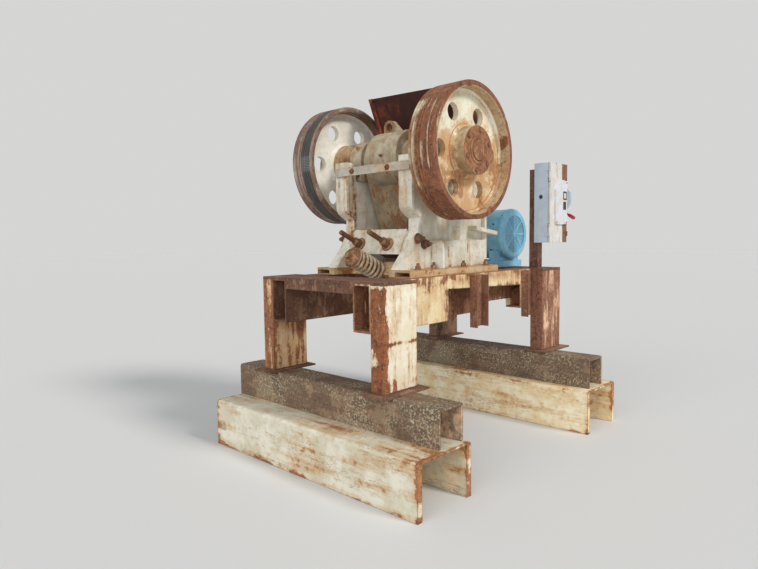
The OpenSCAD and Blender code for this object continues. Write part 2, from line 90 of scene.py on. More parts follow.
class bench:
    def __init__(self, tree):
        self.tree = tree

    def node(self, kind, **settings):
        fresh = self.tree.nodes.new(kind)
        for key, value in settings.items():
            setattr(fresh, key, value)
        return fresh

    def feed(self, socket, value):
        if isinstance(value, bpy.types.NodeSocket):
            self.tree.links.new(value, socket)
        elif value is not None:
            socket.default_value = value

    def maths(self, operation, a, b=None, clamp=False):
        fresh = self.node("ShaderNodeMath", operation=operation, use_clamp=clamp)
        self.feed(fresh.inputs[0], a)
        self.feed(fresh.inputs[1], b)
        return fresh.outputs[0]

    def add(self, *values):
        total = values[0]
        for value in values[1:]:
            total = self.maths("ADD", total, value)
        return total

    def times(self, a, *others):
        for other in others:
            a = self.maths("MULTIPLY", a, other)
        return a

    def vector(self, operation, a, b=None):
        fresh = self.node("ShaderNodeVectorMath", operation=operation)
        self.feed(fresh.inputs[0], a)
        self.feed(fresh.inputs[1], b)
        return fresh.outputs["Value" if operation in ("DOT_PRODUCT", "LENGTH") else "Vector"]

    def blend(self, amount, a, b):
        fresh = self.node("ShaderNodeMix", data_type="RGBA")
        self.feed(fresh.inputs[0], amount)
        self.feed(fresh.inputs[6], a)
        self.feed(fresh.inputs[7], b)
        return fresh.outputs[2]

    def between(self, amount, a, b):
        fresh = self.node("ShaderNodeMix", data_type="FLOAT")
        self.feed(fresh.inputs[0], amount)
        self.feed(fresh.inputs[2], a)
        self.feed(fresh.inputs[3], b)
        return fresh.outputs[0]

    def noise(self, where, scale, detail=4.0, roughness=0.55):
        fresh = self.node("ShaderNodeTexNoise")
        self.feed(fresh.inputs["Vector"], where)
        self.feed(fresh.inputs["Scale"], scale)
        fresh.inputs["Detail"].default_value = detail
        fresh.inputs["Roughness"].default_value = roughness
        return fresh.outputs[0]

    def rise(self, value, low, high):  # 0 below low, 1 above high, smooth between
        fresh = self.node("ShaderNodeMapRange", interpolation_type="SMOOTHSTEP")
        self.feed(fresh.inputs[0], value)
        self.feed(fresh.inputs[1], low)
        self.feed(fresh.inputs[2], high)
        return fresh.outputs[0]

    def rest(self, share):  # what a share leaves of one
        return self.maths("SUBTRACT", 1.0, share)

    def centred(self, value, gain):  # a noise about zero
        return self.times(self.maths("SUBTRACT", value, 0.5), gain)

    def split(self, vector):
        fresh = self.node("ShaderNodeSeparateXYZ")
        self.feed(fresh.inputs[0], vector)
        return fresh.outputs[0], fresh.outputs[1], fresh.outputs[2]

    def join(self, x, y, z):
        fresh = self.node("ShaderNodeCombineXYZ")
        for socket, value in zip(fresh.inputs, (x, y, z)):
            self.feed(socket, value)
        return fresh.outputs[0]

    def use(self, group, **values):  # a shared group, by the names of its inputs
        fresh = self.node("ShaderNodeGroup", node_tree=group)
        for label, value in values.items():
            self.feed(fresh.inputs[label], value)
        return fresh.outputs


socketKinds = {float: "NodeSocketFloat", tuple: "NodeSocketColor", Vector: "NodeSocketVector"}


def newGroup(name, inputs, outputs):
    tree = bpy.data.node_groups.new(name, "ShaderNodeTree")
    for label, value in inputs.items():
        socket = tree.interface.new_socket(label, in_out="INPUT", socket_type=socketKinds[type(value)])
        socket.default_value = value
    for label, kind in outputs.items():
        tree.interface.new_socket(label, in_out="OUTPUT", socket_type=socketKinds[kind])
    work = bench(tree)
    return tree, work, work.node("NodeGroupInput").outputs, work.node("NodeGroupOutput").inputs


edgeLevels = {"rough": (4.0, 0.7), "gain": 2.2, "mask": (0.02, 0.22)}


# A mask along corners, broken up by noise
def makeEdgeWear():
    inputs = {"where": Vector(), "radius": 0.012, "breakup": 30.0}
    tree, work, given, out = newGroup("edgeWear", inputs, {"mask": float})
    bevel = work.node("ShaderNodeBevel", samples=4)
    work.feed(bevel.inputs["Radius"], given["radius"])
    flat = work.node("ShaderNodeNewGeometry").outputs["True Normal"]
    away = work.rest(work.vector("DOT_PRODUCT", bevel.outputs[0], flat))
    rough = work.noise(given["where"], given["breakup"], *edgeLevels["rough"])
    mixed = work.times(away, work.times(rough, edgeLevels["gain"]))
    work.feed(out["mask"], work.rise(mixed, *edgeLevels["mask"]))
    return tree


# 1 inside a box with a ragged edge, 0 outside
def makePlaceMask():
    inputs = {"where": Vector(), "middle": Vector(), "reach": Vector((1, 1, 1)), "soft": 0.03, "ragged": 0.1}
    tree, work, given, out = newGroup("placeMask", inputs, {"mask": float})
    shake = work.node("ShaderNodeTexNoise")
    work.feed(shake.inputs["Vector"], given["where"])
    shake.inputs["Scale"].default_value = 11.0
    shake.inputs["Detail"].default_value = 4.0
    pushed = work.vector("SUBTRACT", shake.outputs["Color"], (0.5, 0.5, 0.5))
    ragged = work.join(given["ragged"], given["ragged"], given["ragged"])
    moved = work.vector("ADD", given["where"], work.vector("MULTIPLY", pushed, ragged))
    apart = work.vector("ABSOLUTE", work.vector("SUBTRACT", moved, given["middle"]))
    x, y, z = work.split(work.vector("SUBTRACT", apart, given["reach"]))
    most = work.maths("MAXIMUM", work.maths("MAXIMUM", x, y), z)
    low = work.times(given["soft"], -1.0)
    work.feed(out["mask"], work.rest(work.rise(most, low, given["soft"])))
    return tree


scratchLevels = {"fine": (3.0, 0.6), "thin": (0.003, 0.02), "broadScale": 0.16, "where": (0.5, 0.62)}


# Thin lines rubbed along the drawn direction
def makeScratches():
    tree, work, given, out = newGroup("scratches", {"drawn": Vector(), "scale": 60.0}, {"mask": float})
    lines = work.noise(given["drawn"], given["scale"], *scratchLevels["fine"])
    ridge = work.maths("ABSOLUTE", work.maths("SUBTRACT", lines, 0.5))
    thin = work.rest(work.rise(ridge, *scratchLevels["thin"]))
    broad = work.times(given["scale"], scratchLevels["broadScale"])
    where = work.noise(given["drawn"], broad, *scratchLevels["fine"])
    work.feed(out["mask"], work.times(thin, work.rise(where, *scratchLevels["where"])))
    return tree


# Where each layer of the worn coat starts and is complete, and how strongly each noise counts
wearLevels = {"bare": (-0.03, 0.2), "fleck": (0.63, 0.7), "fleckLevel": (-0.9, -0.1), "fleckShare": 0.8,
              "stain": (-0.75, 0.1), "stainRuns": (0.34, 0.64), "halo": (-0.3, 0.06), "haloShare": 0.85,
              "cloud": (0.38, 0.62), "film": (0.5, 0.78), "rust": (0.34, 0.58), "bright": (0.48, 0.84),
              "broad": 2.4, "small": 1.3, "runs": 2.6, "cover": 0.8, "bareRoughness": 0.88,
              "edgeRadius": 0.011, "edgeBreakup": 26.0}


# Old paint over rusty steel, with runs drawn out along the longest direction of "stretch"
def makeWornCoat(edgeWear, scratches):
    inputs = {"where": Vector(), "stretch": Vector((1, 1, 0.11)),
              "paint": (0.6, 0.6, 0.5, 1.0), "shade": (0.5, 0.5, 0.4, 1.0), "stain": (0.5, 0.3, 0.1, 1.0),
              "dark": (0.05, 0.03, 0.02, 1.0), "rust": (0.2, 0.1, 0.05, 1.0), "bright": (0.4, 0.2, 0.08, 1.0),
              "amount": 0.0, "extra": 0.0, "scale": 3.0, "edge": 0.5, "streak": 0.5, "grime": 0.4,
              "scratched": 0.0, "gloss": 0.55}
    outputs = {"color": tuple, "roughness": float, "height": float}
    tree, work, given, out = newGroup("wornCoat", inputs, outputs)
    where, scale, wear = given["where"], given["scale"], wearLevels
    drawn = work.vector("MULTIPLY", where, given["stretch"])
    broad = work.noise(where, scale, 5.0, 0.6)
    small = work.noise(where, work.times(scale, 9.0), 5.0, 0.7)
    speck = work.noise(where, work.times(scale, 34.0), 3.0, 0.6)
    runs = work.noise(drawn, work.times(scale, 5.0), 4.0, 0.62)
    edge = work.use(edgeWear, where=where, radius=wear["edgeRadius"], breakup=wear["edgeBreakup"])["mask"]
    lines = work.use(scratches, drawn=drawn, scale=work.times(scale, 22.0))["mask"]

    level = work.add(work.centred(broad, wear["broad"]), work.centred(small, wear["small"]),
                     given["amount"], given["extra"],
                     work.times(work.centred(runs, wear["runs"]), given["streak"]),
                     work.times(edge, given["edge"]))
    flecks = work.times(work.rise(speck, *wear["fleck"]), work.rise(level, *wear["fleckLevel"]))
    bare = work.maths("MAXIMUM", work.rise(level, *wear["bare"]), work.times(flecks, wear["fleckShare"]),
                      clamp=True)
    stained = work.times(work.rise(level, *wear["stain"]), work.rise(runs, *wear["stainRuns"]))
    halo = work.times(work.rise(level, *wear["halo"]), wear["haloShare"])
    stained = work.maths("MAXIMUM", stained, halo)
    worn = work.times(lines, given["scratched"])

    cloud = work.noise(where, work.times(scale, 2.3), 4.0, 0.6)
    paint = work.blend(work.rise(cloud, *wear["cloud"]), given["paint"], given["shade"])
    paint = work.blend(work.times(stained, wear["cover"]), paint, given["stain"])
    film = work.times(work.rise(small, *wear["film"]), given["grime"])
    paint = work.blend(film, paint, work.blend(0.5, given["stain"], given["dark"]))
    paint = work.blend(work.times(worn, wear["cover"]), paint, given["rust"])
    rust = work.blend(work.rise(small, *wear["rust"]), given["dark"], given["rust"])
    lively = work.add(speck, work.centred(broad, 0.7), work.centred(runs, 0.8))
    rust = work.blend(work.rise(lively, *wear["bright"]), rust, given["bright"])
    work.feed(out["color"], work.blend(bare, paint, rust))
    painted = work.add(given["gloss"], work.centred(small, 0.3))
    work.feed(out["roughness"], work.between(bare, painted, wear["bareRoughness"]))
    pits = work.add(work.centred(speck, 0.9), work.centred(small, 1.1))
    pits = work.times(pits, work.between(bare, 0.16, 0.9))
    deep = work.add(work.times(bare, 0.35), work.times(worn, 0.3))
    work.feed(out["height"], work.maths("SUBTRACT", pits, deep))
    return tree


placeMask = makePlaceMask()
wornCoat = makeWornCoat(makeEdgeWear(), makeScratches())
print("shared shader groups made")


# Coats

alongX = (0.1, 1, 1)
downZ = (1, 1, 0.11)
toneKeys = ("shade", "stain", "dark", "rust", "bright")
levelKeys = ("amount", "scale", "edge", "streak", "grime", "gloss", "scratched")
coatBase = {"scale": 3.0, "edge": 0.5, "streak": 0.5, "grime": 0.4, "gloss": 0.6, "scratched": 0.0,
            "stretch": downZ, "places": (), "paintAndLightPatches": ()}
finishBase = {"metal": 0.0, "round": 0.003, "bump": 0.5, "depth": 0.003}
crumbLevels = {"fine": (0.5, 0.6), "broadScale": 5.0, "broad": (0.36, 0.6), "height": 0.5}


# A box with more or less rust, or with a paint of its own; some of these paints are painted light and painted
# shade
def spot(middle, reach, more=0.0, paint=None, soft=25, ragged=90):
    return {"middle": middle, "reach": reach, "more": more, "paint": paint, "soft": soft, "ragged": ragged}


def freshMaterial(name):
    material = bpy.data.materials.new(name)
    material.use_nodes = True
    material.node_tree.nodes.clear()
    return material, bench(material.node_tree)


def finishCoat(work, color, roughness, height, look):
    look = {**finishBase, **look}
    surface = work.node("ShaderNodeBsdfPrincipled")
    surface.inputs["Metallic"].default_value = look["metal"]
    work.feed(surface.inputs["Base Color"], color)
    work.feed(surface.inputs["Roughness"], roughness)
    rounded = work.node("ShaderNodeBevel", samples=4)
    rounded.inputs["Radius"].default_value = look["round"]
    bump = work.node("ShaderNodeBump")
    bump.inputs["Strength"].default_value = look["bump"]
    bump.inputs["Distance"].default_value = look["depth"]
    work.feed(bump.inputs["Height"], height)
    work.feed(bump.inputs["Normal"], rounded.outputs[0])
    work.feed(surface.inputs["Normal"], bump.outputs[0])
    work.feed(work.node("ShaderNodeOutputMaterial").inputs["Surface"], surface.outputs[0])


def maskAt(work, where, place):
    middle, reach = at(*place["middle"]), Vector(place["reach"]) / 1000
    soft, ragged = place["soft"] / 1000, place["ragged"] / 1000
    return work.use(placeMask, where=where, middle=middle, reach=reach, soft=soft, ragged=ragged)["mask"]


def rustAt(work, where, places):
    return work.add(0.0, *(work.times(maskAt(work, where, place), place["more"]) for place in places))


def coat(name, look):
    look = {**coatBase, **look}
    material, work = freshMaterial(name)
    where = work.node("ShaderNodeTexCoord").outputs["Object"]
    paint = tone(look["paint"])
    # patches of the thing's own paint, and patches of painted light and painted shade
    for place in look["paintAndLightPatches"]:
        paint = work.blend(maskAt(work, where, place), paint, tone(place["paint"]))
    tones = {key: tone(look[key]) for key in toneKeys}
    levels = {key: look[key] for key in levelKeys}
    dry = work.use(wornCoat, where=where, paint=paint, extra=rustAt(work, where, look["places"]),
                   stretch=Vector(look["stretch"]), **tones, **levels)
    color, height = dry["color"], dry["height"]
    if "flecks" in look:  # crumbs of old paint left on the rust
        crumbs = look["flecks"]
        mask = work.rise(work.noise(where, crumbs["scale"], 4.0, 0.75), *crumbLevels["fine"])
        broad = work.noise(where, crumbLevels["broadScale"], 4.0, 0.6)
        mask = work.times(mask, work.rise(broad, *crumbLevels["broad"]), crumbs["cover"])
        color = work.blend(mask, color, tone(crumbs["color"]))
        height = work.add(height, work.times(mask, crumbLevels["height"]))
    finishCoat(work, color, dry["roughness"], height, look)
    return material


orangeRust = {"dark": (88, 55, 38), "rust": (146, 92, 58), "bright": (192, 134, 86), "stain": (200, 156, 106)}
brownRust = {"dark": (60, 42, 33), "rust": (106, 73, 54), "bright": (146, 103, 75), "stain": (150, 114, 86)}

coats = {
    "paleSkid": {
        **orangeRust, "paint": (232, 227, 208), "shade": (214, 206, 180), "stain": (200, 156, 100),
        "rust": (156, 104, 66), "amount": -0.54, "edge": 1.2, "streak": 0.9, "stretch": alongX,
        "scale": 2.6, "bump": 0.6, "scratched": 1.0, "grime": 0.4,
        "paintAndLightPatches": [
            # painted light: a pale warm patch on the inside face of the far flange, in place of sunlight
            # falling into the channel
            spot((0, -789, 155), (1100, 9, 160), paint=(245, 220, 180), soft=2, ragged=0),
            spot((-918, -1238, 150), (54, 20, 34), paint=(146, 166, 168), soft=3, ragged=6)],
        "places": [
            spot((0, -1238, 0), (1100, 60, 22), 0.65, ragged=50),
            spot((0, -770, 340), (1100, 40, 40), 0.6),
            spot((980, -1000, 170), (20, 300, 200), 0.75, ragged=34),
            spot((-980, -1000, 170), (40, 300, 200), 0.45),
            spot((800, -1130, 340), (200, 110, 40), 0.4),
            spot((620, -1238, 200), (130, 60, 150), 0.36)]},
    "tanSkid": {
        **orangeRust, "paint": (250, 240, 210), "shade": (240, 216, 170), "stain": (220, 176, 120),
        "rust": (168, 112, 70), "bright": (210, 156, 100), "amount": -0.5, "edge": 1.2, "streak": 1.0,
        "stretch": alongX, "scale": 2.6, "bump": 0.6, "scratched": 1.0, "grime": 0.45,
        "places": [
            spot((0, 790, 340), (1100, 60, 50), 0.3),
            spot((0, 747, 0), (1200, 60, 40), 0.4),
            spot((1010, 990, 170), (20, 300, 200), 0.7, ragged=34)]},
    "darkSkid": {
        **brownRust, "paint": (144, 126, 100), "shade": (128, 110, 87), "dark": (80, 64, 51),
        "rust": (113, 91, 72), "bright": (142, 115, 90), "amount": 0.16, "edge": 0.75, "streak": 0.5,
        "stretch": alongX, "scale": 4.2, "grime": 0.6, "bump": 0.7,
        "flecks": {"scale": 62.0, "color": (198, 188, 158), "cover": 0.85},
        "paintAndLightPatches": [
            spot((0, 842, 449), (1100, 30, 112), paint=(130, 126, 104)),
            spot((0, 0, 580), (1100, 1300, 30), paint=(118, 88, 74), soft=8, ragged=0),
            # painted light: a bright warm patch on the inside face of the near skid's far flange, in place of
            # sunlight falling into the channel
            spot((900, -794, 440), (900, 8, 108), paint=(255, 205, 169), soft=2, ragged=0),
            spot((900, 1054, 440), (900, 8, 108), paint=(160, 112, 90), soft=2, ragged=0)],
        "places": [
            spot((0, 0, 580), (1100, 1300, 30), 0.3, ragged=20),
            # less rust on the same face, so the painted light shows
            spot((900, -794, 440), (900, 9, 104), -0.9, ragged=4),
            spot((900, 1054, 440), (900, 9, 104), -0.6, ragged=4)]},
    "footPlate": {
        **brownRust, "paint": (150, 112, 92), "shade": (122, 88, 72), "amount": 0.12, "scale": 5.0},
    "legRearLeft": {
        **orangeRust, "paint": (224, 194, 154), "shade": (204, 162, 120), "rust": (148, 96, 64),
        "amount": -0.02, "streak": 1.2, "scale": 3.2, "edge": 0.4,
        "places": [
            spot((-600, -1040, 900), (80, 36, 400), 0.5, ragged=30),
            spot((-553, -750, 800), (40, 60, 400), 0.3)]},
    "legFrontLeft": {**brownRust, "paint": (150, 116, 88), "shade": (116, 86, 64), "amount": 0.1},
    "legFrontRight": {
        **brownRust, "paint": (238, 196, 162), "shade": (192, 142, 112), "rust": (144, 97, 73),
        "dark": (84, 56, 44), "bright": (170, 120, 92), "amount": 0.22, "streak": 1.5, "scale": 3.4,
        "places": [spot((470, 905, 900), (80, 12, 400), 1.0, ragged=30)]},
    "legRearRight": {
        **orangeRust, "paint": (242, 236, 214), "shade": (232, 220, 192), "stain": (204, 164, 122),
        "rust": (146, 85, 53), "amount": -0.66, "edge": 0.35, "streak": 1.3, "scale": 3.6, "grime": 0.3,
        "places": [
            spot((480, -1036, 870), (90, 44, 350), 1.3, ragged=70),
            spot((532, -955, 900), (30, 70, 420), 0.42),
            spot((532, -860, 877), (40, 200, 13), 0.95, soft=14, ragged=24),
            spot((532, -860, 600), (30, 200, 50), 0.4)],
        "paintAndLightPatches": [spot((424, -1015, 1150), (34, 30, 110), paint=(200, 192, 172))]},
    "beamPale": {
        **orangeRust, "paint": (234, 214, 172), "shade": (222, 194, 148), "stain": (190, 144, 98),
        "rust": (140, 92, 64), "bright": (180, 126, 88), "amount": -0.42, "edge": 0.5, "streak": 1.1,
        "scale": 3.4,
        "paintAndLightPatches": [spot((424, 480, 1232), (40, 620, 30), paint=(176, 126, 86), soft=40)],
        "places": [
            spot((345, 0, 1090), (74, 1300, 200), 0.9, soft=3, ragged=4),
            spot((424, -300, 1230), (40, 420, 30), 0.35),
            spot((424, -430, 1176), (40, 110, 40), 0.35),
            spot((424, 340, 1235), (40, 640, 30), 0.4, soft=40),
            spot((424, -242, 1050), (40, 16, 120), 0.6),
            spot((424, 300, 1135), (40, 560, 14), 0.6)]},
    "beamBrown": {
        **brownRust, "paint": (124, 92, 72), "shade": (100, 71, 55), "rust": (104, 69, 50),
        "bright": (138, 96, 70), "amount": 0.25, "scale": 4.0},
    "hangerBrown": {
        **brownRust, "paint": (164, 118, 92), "shade": (138, 96, 74), "rust": (128, 84, 64),
        "bright": (160, 108, 80), "amount": 0.1, "scale": 5.0},
    "framePaint": {
        **orangeRust, "paint": (226, 222, 208), "shade": (206, 198, 176), "stain": (196, 162, 118),
        "amount": -0.68, "edge": 0.45, "streak": 1.0, "scale": 3.6,
        "places": [
            spot((295, -50, 1370), (14, 22, 90), 0.75),
            spot((295, -375, 1500), (30, 70, 40), 0.4),
            spot((295, 200, 1310), (120, 400, 14), 0.5),
            spot((-330, -430, 1640), (20, 60, 200), 0.4),
            spot((-375, -440, 1760), (70, 70, 230), 0.3),
            spot((-65, -470, 1500), (280, 60, 90), 0.25)]},
    "barPaint": {
        **orangeRust, "paint": (192, 188, 176), "shade": (172, 164, 148), "amount": -0.62, "scale": 6.0,
        "places": [
            spot((100, -500, 2011), (30, 20, 26), 0.7),
            spot((-249, -500, 2008), (26, 20, 22), 0.7)]},
    "castPaint": {
        **orangeRust, "paint": (184, 173, 148), "shade": (158, 142, 114), "stain": (156, 120, 84),
        "dark": (82, 58, 42), "rust": (134, 94, 66), "bright": (172, 126, 88), "amount": -0.45,
        "edge": 0.3, "streak": 1.2, "scale": 4.0, "grime": 0.75,
        # darker paint on the lower pitman: dirt, and painted shade for the shadow of the bar and the wheel
        "paintAndLightPatches": [spot((-65, -260, 1640), (240, 300, 300), paint=(128, 112, 90), soft=60)],
        "places": [
            spot((-65, -260, 1600), (240, 260, 300), 0.35),
            spot((-65, -390, 1960), (170, 30, 60), 0.35),
            spot((-350, -330, 2010), (60, 60, 60), 0.35),
            spot((-140, -187, 2346), (70, 40, 60), 0.4, ragged=60)]},
    "basePaint": {
        **orangeRust, "paint": (206, 184, 146), "shade": (184, 154, 112), "amount": -0.1, "edge": 0.6,
        "streak": 0.5, "stretch": (1, 0.12, 1), "scale": 4.0},
    "jawSteel": {
        **brownRust, "paint": (96, 90, 84), "shade": (74, 69, 64), "amount": 0.05, "scale": 5.0,
        "metal": 0.3},
    "boltRust": {
        **orangeRust, "paint": (166, 124, 86), "shade": (136, 96, 68), "dark": (74, 50, 38),
        "rust": (122, 82, 60), "bright": (166, 116, 76), "amount": 0.15, "scale": 9.0},
    "rodRust": {
        **brownRust, "paint": (134, 88, 66), "shade": (112, 74, 56), "rust": (118, 76, 56),
        "bright": (152, 100, 70), "amount": 0.2, "scale": 9.0},
    "studBrown": {**brownRust, "paint": (122, 86, 66), "shade": (98, 68, 52), "amount": 0.2, "scale": 9.0},
    "springCoat": {
        **orangeRust, "paint": (222, 212, 190), "shade": (194, 172, 142), "dark": (88, 66, 50),
        "rust": (140, 110, 84), "bright": (176, 142, 108), "amount": -0.3, "scale": 9.0, "streak": 0.4},
    "hopperCoat": {
        **brownRust, "paint": (58, 19, 7), "shade": (46, 15, 5), "stain": (70, 27, 13),
        "dark": (40, 17, 10), "rust": (72, 30, 17), "bright": (104, 46, 27), "amount": -0.5,
        "streak": 0.9, "edge": 0.3, "gloss": 0.85,
        "paintAndLightPatches": [
            spot((-439, -42, 2430), (24, 80, 200), paint=(176, 78, 52), soft=1, ragged=0),
            spot((309, -42, 2430), (24, 80, 200), paint=(176, 78, 52), soft=1, ragged=0)]},
    "shaftRust": {
        **orangeRust, "paint": (156, 104, 72), "shade": (132, 86, 60), "dark": (88, 56, 42),
        "rust": (138, 90, 64), "bright": (176, 124, 86), "amount": 0.25, "scale": 12.0, "metal": 0.2},
    "motorBlue": {
        **brownRust, "paint": (144, 206, 232), "shade": (130, 194, 222), "stain": (128, 162, 168),
        "amount": -0.95, "edge": 0.5, "streak": 0.5, "gloss": 0.38, "grime": 0.3, "scale": 5.0},
    # painted shade: the dark blue behind the fan grille
    "grillePaintedShade": {
        **brownRust, "paint": (82, 122, 140), "shade": (72, 108, 124), "amount": -1.1, "scale": 9.0},
    # dark iron of the motor pulley; also painted shade round the hub screws
    "pulleyIronAndScrewShade": {**brownRust, "paint": (76, 68, 62), "shade": (58, 52, 48), "amount": 0.1, "scale": 8.0},
    "postRust": {
        **brownRust, "paint": (96, 60, 48), "shade": (76, 48, 39), "rust": (96, 62, 49),
        "dark": (58, 41, 35), "bright": (136, 86, 64), "amount": 0.1, "scale": 6.0,
        "places": [spot((416, 998, 1290), (60, 60, 46), 0.3)]},
    "boxGrey": {
        **brownRust, "paint": (202, 216, 228), "shade": (196, 208, 220), "stain": (176, 182, 184),
        "amount": -1.1, "edge": 0.55, "streak": 0.4, "gloss": 0.42, "grime": 0.14, "scale": 5.0},
    "doorWhite": {
        **brownRust, "paint": (224, 222, 218), "shade": (214, 208, 198), "stain": (178, 150, 124),
        "rust": (134, 96, 74), "dark": (100, 68, 54), "bright": (158, 114, 88), "amount": -0.85,
        "edge": 0.4, "streak": 1.6, "gloss": 0.42, "grime": 0.2, "scale": 6.0,
        "paintAndLightPatches": [spot((610, 1074, 1800), (12.4, 104, 190), paint=(216, 222, 232), soft=1, ragged=0)],
        "places": [
            spot((600, 1152, 1545), (40, 44, 84), 2.4, ragged=26),
            spot((600, 1152, 2056), (40, 44, 76), 2.4, ragged=26),
            spot((600, 1190, 1830), (40, 12, 300), 1.2, ragged=16),
            spot((611, 1074, 1800), (12, 104, 190), -1.4, soft=1, ragged=0)]},
    "leverRed": {
        **brownRust, "paint": (182, 44, 54), "shade": (160, 36, 46), "stain": (120, 50, 50),
        "amount": -1.2, "gloss": 0.35, "grime": 0.3, "scale": 14.0},
    # dark plates on the door, and painted shade inside the open holes
    "darkPlatesAndHoleShade": {
        **brownRust, "paint": (44, 44, 48), "shade": (52, 51, 54), "stain": (70, 66, 62), "amount": -1.4,
        "gloss": 0.5, "grime": 0.4, "scale": 14.0},
    "paleEnamel": {
        **brownRust, "paint": (214, 216, 214), "shade": (204, 206, 204), "stain": (170, 166, 158),
        "amount": -1.4, "gloss": 0.4, "grime": 0.2, "scale": 14.0},
    "weldSteel": {
        **brownRust, "paint": (144, 114, 92), "shade": (118, 90, 72), "amount": 0.2, "scale": 12.0},
}

# Flywheel coats: "innerRim" lines the rim's inside, "ringed" the grooves, "ochre" the wash on the web
wheelCentre = (-65, -187, 2099)
rightWheel = {
    "ringed": (178, 124, 80), "innerRim": (208, 184, 146), "innerRust": 0.56, "faceRust": 1.2,
    "ringRust": 0.3, "ochre": (198, 148, 92), "ochreLevel": -0.12,
    "web": {"paint": (240, 237, 216), "shade": (230, 219, 190), "stain": (208, 166, 116),
            "dark": (128, 88, 60), "rust": (172, 124, 84), "bright": (204, 160, 110), "amount": -0.38},
    "rim": {"paint": (214, 206, 172), "shade": (176, 148, 118), "stain": (150, 104, 74), "dark": (80, 54, 42),
            "rust": (130, 79, 55), "bright": (168, 110, 74), "amount": 0.62},
    "hub": {"paint": (206, 190, 154), "shade": (152, 130, 96), "stain": (160, 116, 78), "dark": (104, 70, 50),
            "rust": (158, 106, 72), "bright": (192, 140, 98), "amount": -0.75},
    "ochreAt": [
        spot((540, -430, 2150), (60, 110, 100), 0.55, ragged=120),
        spot((540, 110, 2060), (60, 110, 190), 0.5, ragged=120),
        spot((540, -150, 1760), (60, 200, 70), 0.22, ragged=120)],
    "places": [
        spot((540, 160, 1850), (60, 200, 200), 0.42),
        spot((540, -330, 1880), (60, 120, 90), 0.42),
        spot((540, -200, 2460), (60, 300, 150), -0.15),
        spot((540, -140, 1740), (60, 150, 80), 0.3, ragged=120),
        spot((424, -480, 2130), (30, 260, 270), -1.0, ragged=60)]}
leftWheel = {
    "ringed": (136, 108, 92), "innerRim": (112, 82, 64), "innerRust": 0.9, "faceRust": 0.5,
    "ringRust": 0.0, "ochre": (226, 206, 168), "ochreLevel": -0.7, "ochreAt": [], "places": [],
    "web": {"paint": (244, 241, 230), "shade": (232, 227, 211), "stain": (212, 190, 152),
            "dark": (110, 76, 54), "rust": (168, 124, 84), "bright": (206, 164, 114), "amount": -1.0},
    "rim": {"paint": (186, 170, 156), "shade": (156, 138, 126), "stain": (132, 106, 92), "dark": (74, 56, 48),
            "rust": (118, 90, 76), "bright": (154, 122, 104), "amount": 0.2},
    "hub": {"paint": (198, 178, 140), "shade": (180, 154, 114), "stain": (166, 120, 82), "dark": (96, 66, 50),
            "rust": (150, 106, 76), "bright": (186, 140, 102), "amount": 0.05}}

# Radii about the shaft and distances along it, in metres, that tell rim, web and hub apart
wheelZones = {"rim": (0.410, 0.417), "hub": (0.164, 0.169), "nearHub": (0.16, 0.27), "inside": (0.421, 0.427),
              "endFace": (0.703, 0.706), "innerHalf": (0.53, 0.64)}
wheelWear = {"scale": 4.2, "edge": 0.4, "streak": 0.3, "grime": 0.35, "gloss": 0.75}
wheelLevels = {"ringScale": 46.0, "roundScale": 1.7, "rings": 3.4, "ringed": (0.42, 0.6), "ringedShare": 0.75,
               "patchScale": 7.0, "patchEdge": 0.08, "liningRust": 0.9, "liningDark": 0.5,
               "wash": (-0.1, 0.6), "washShare": 0.85, "washNoise": 3.2, "washDown": -1.5, "lineHeight": 0.7}


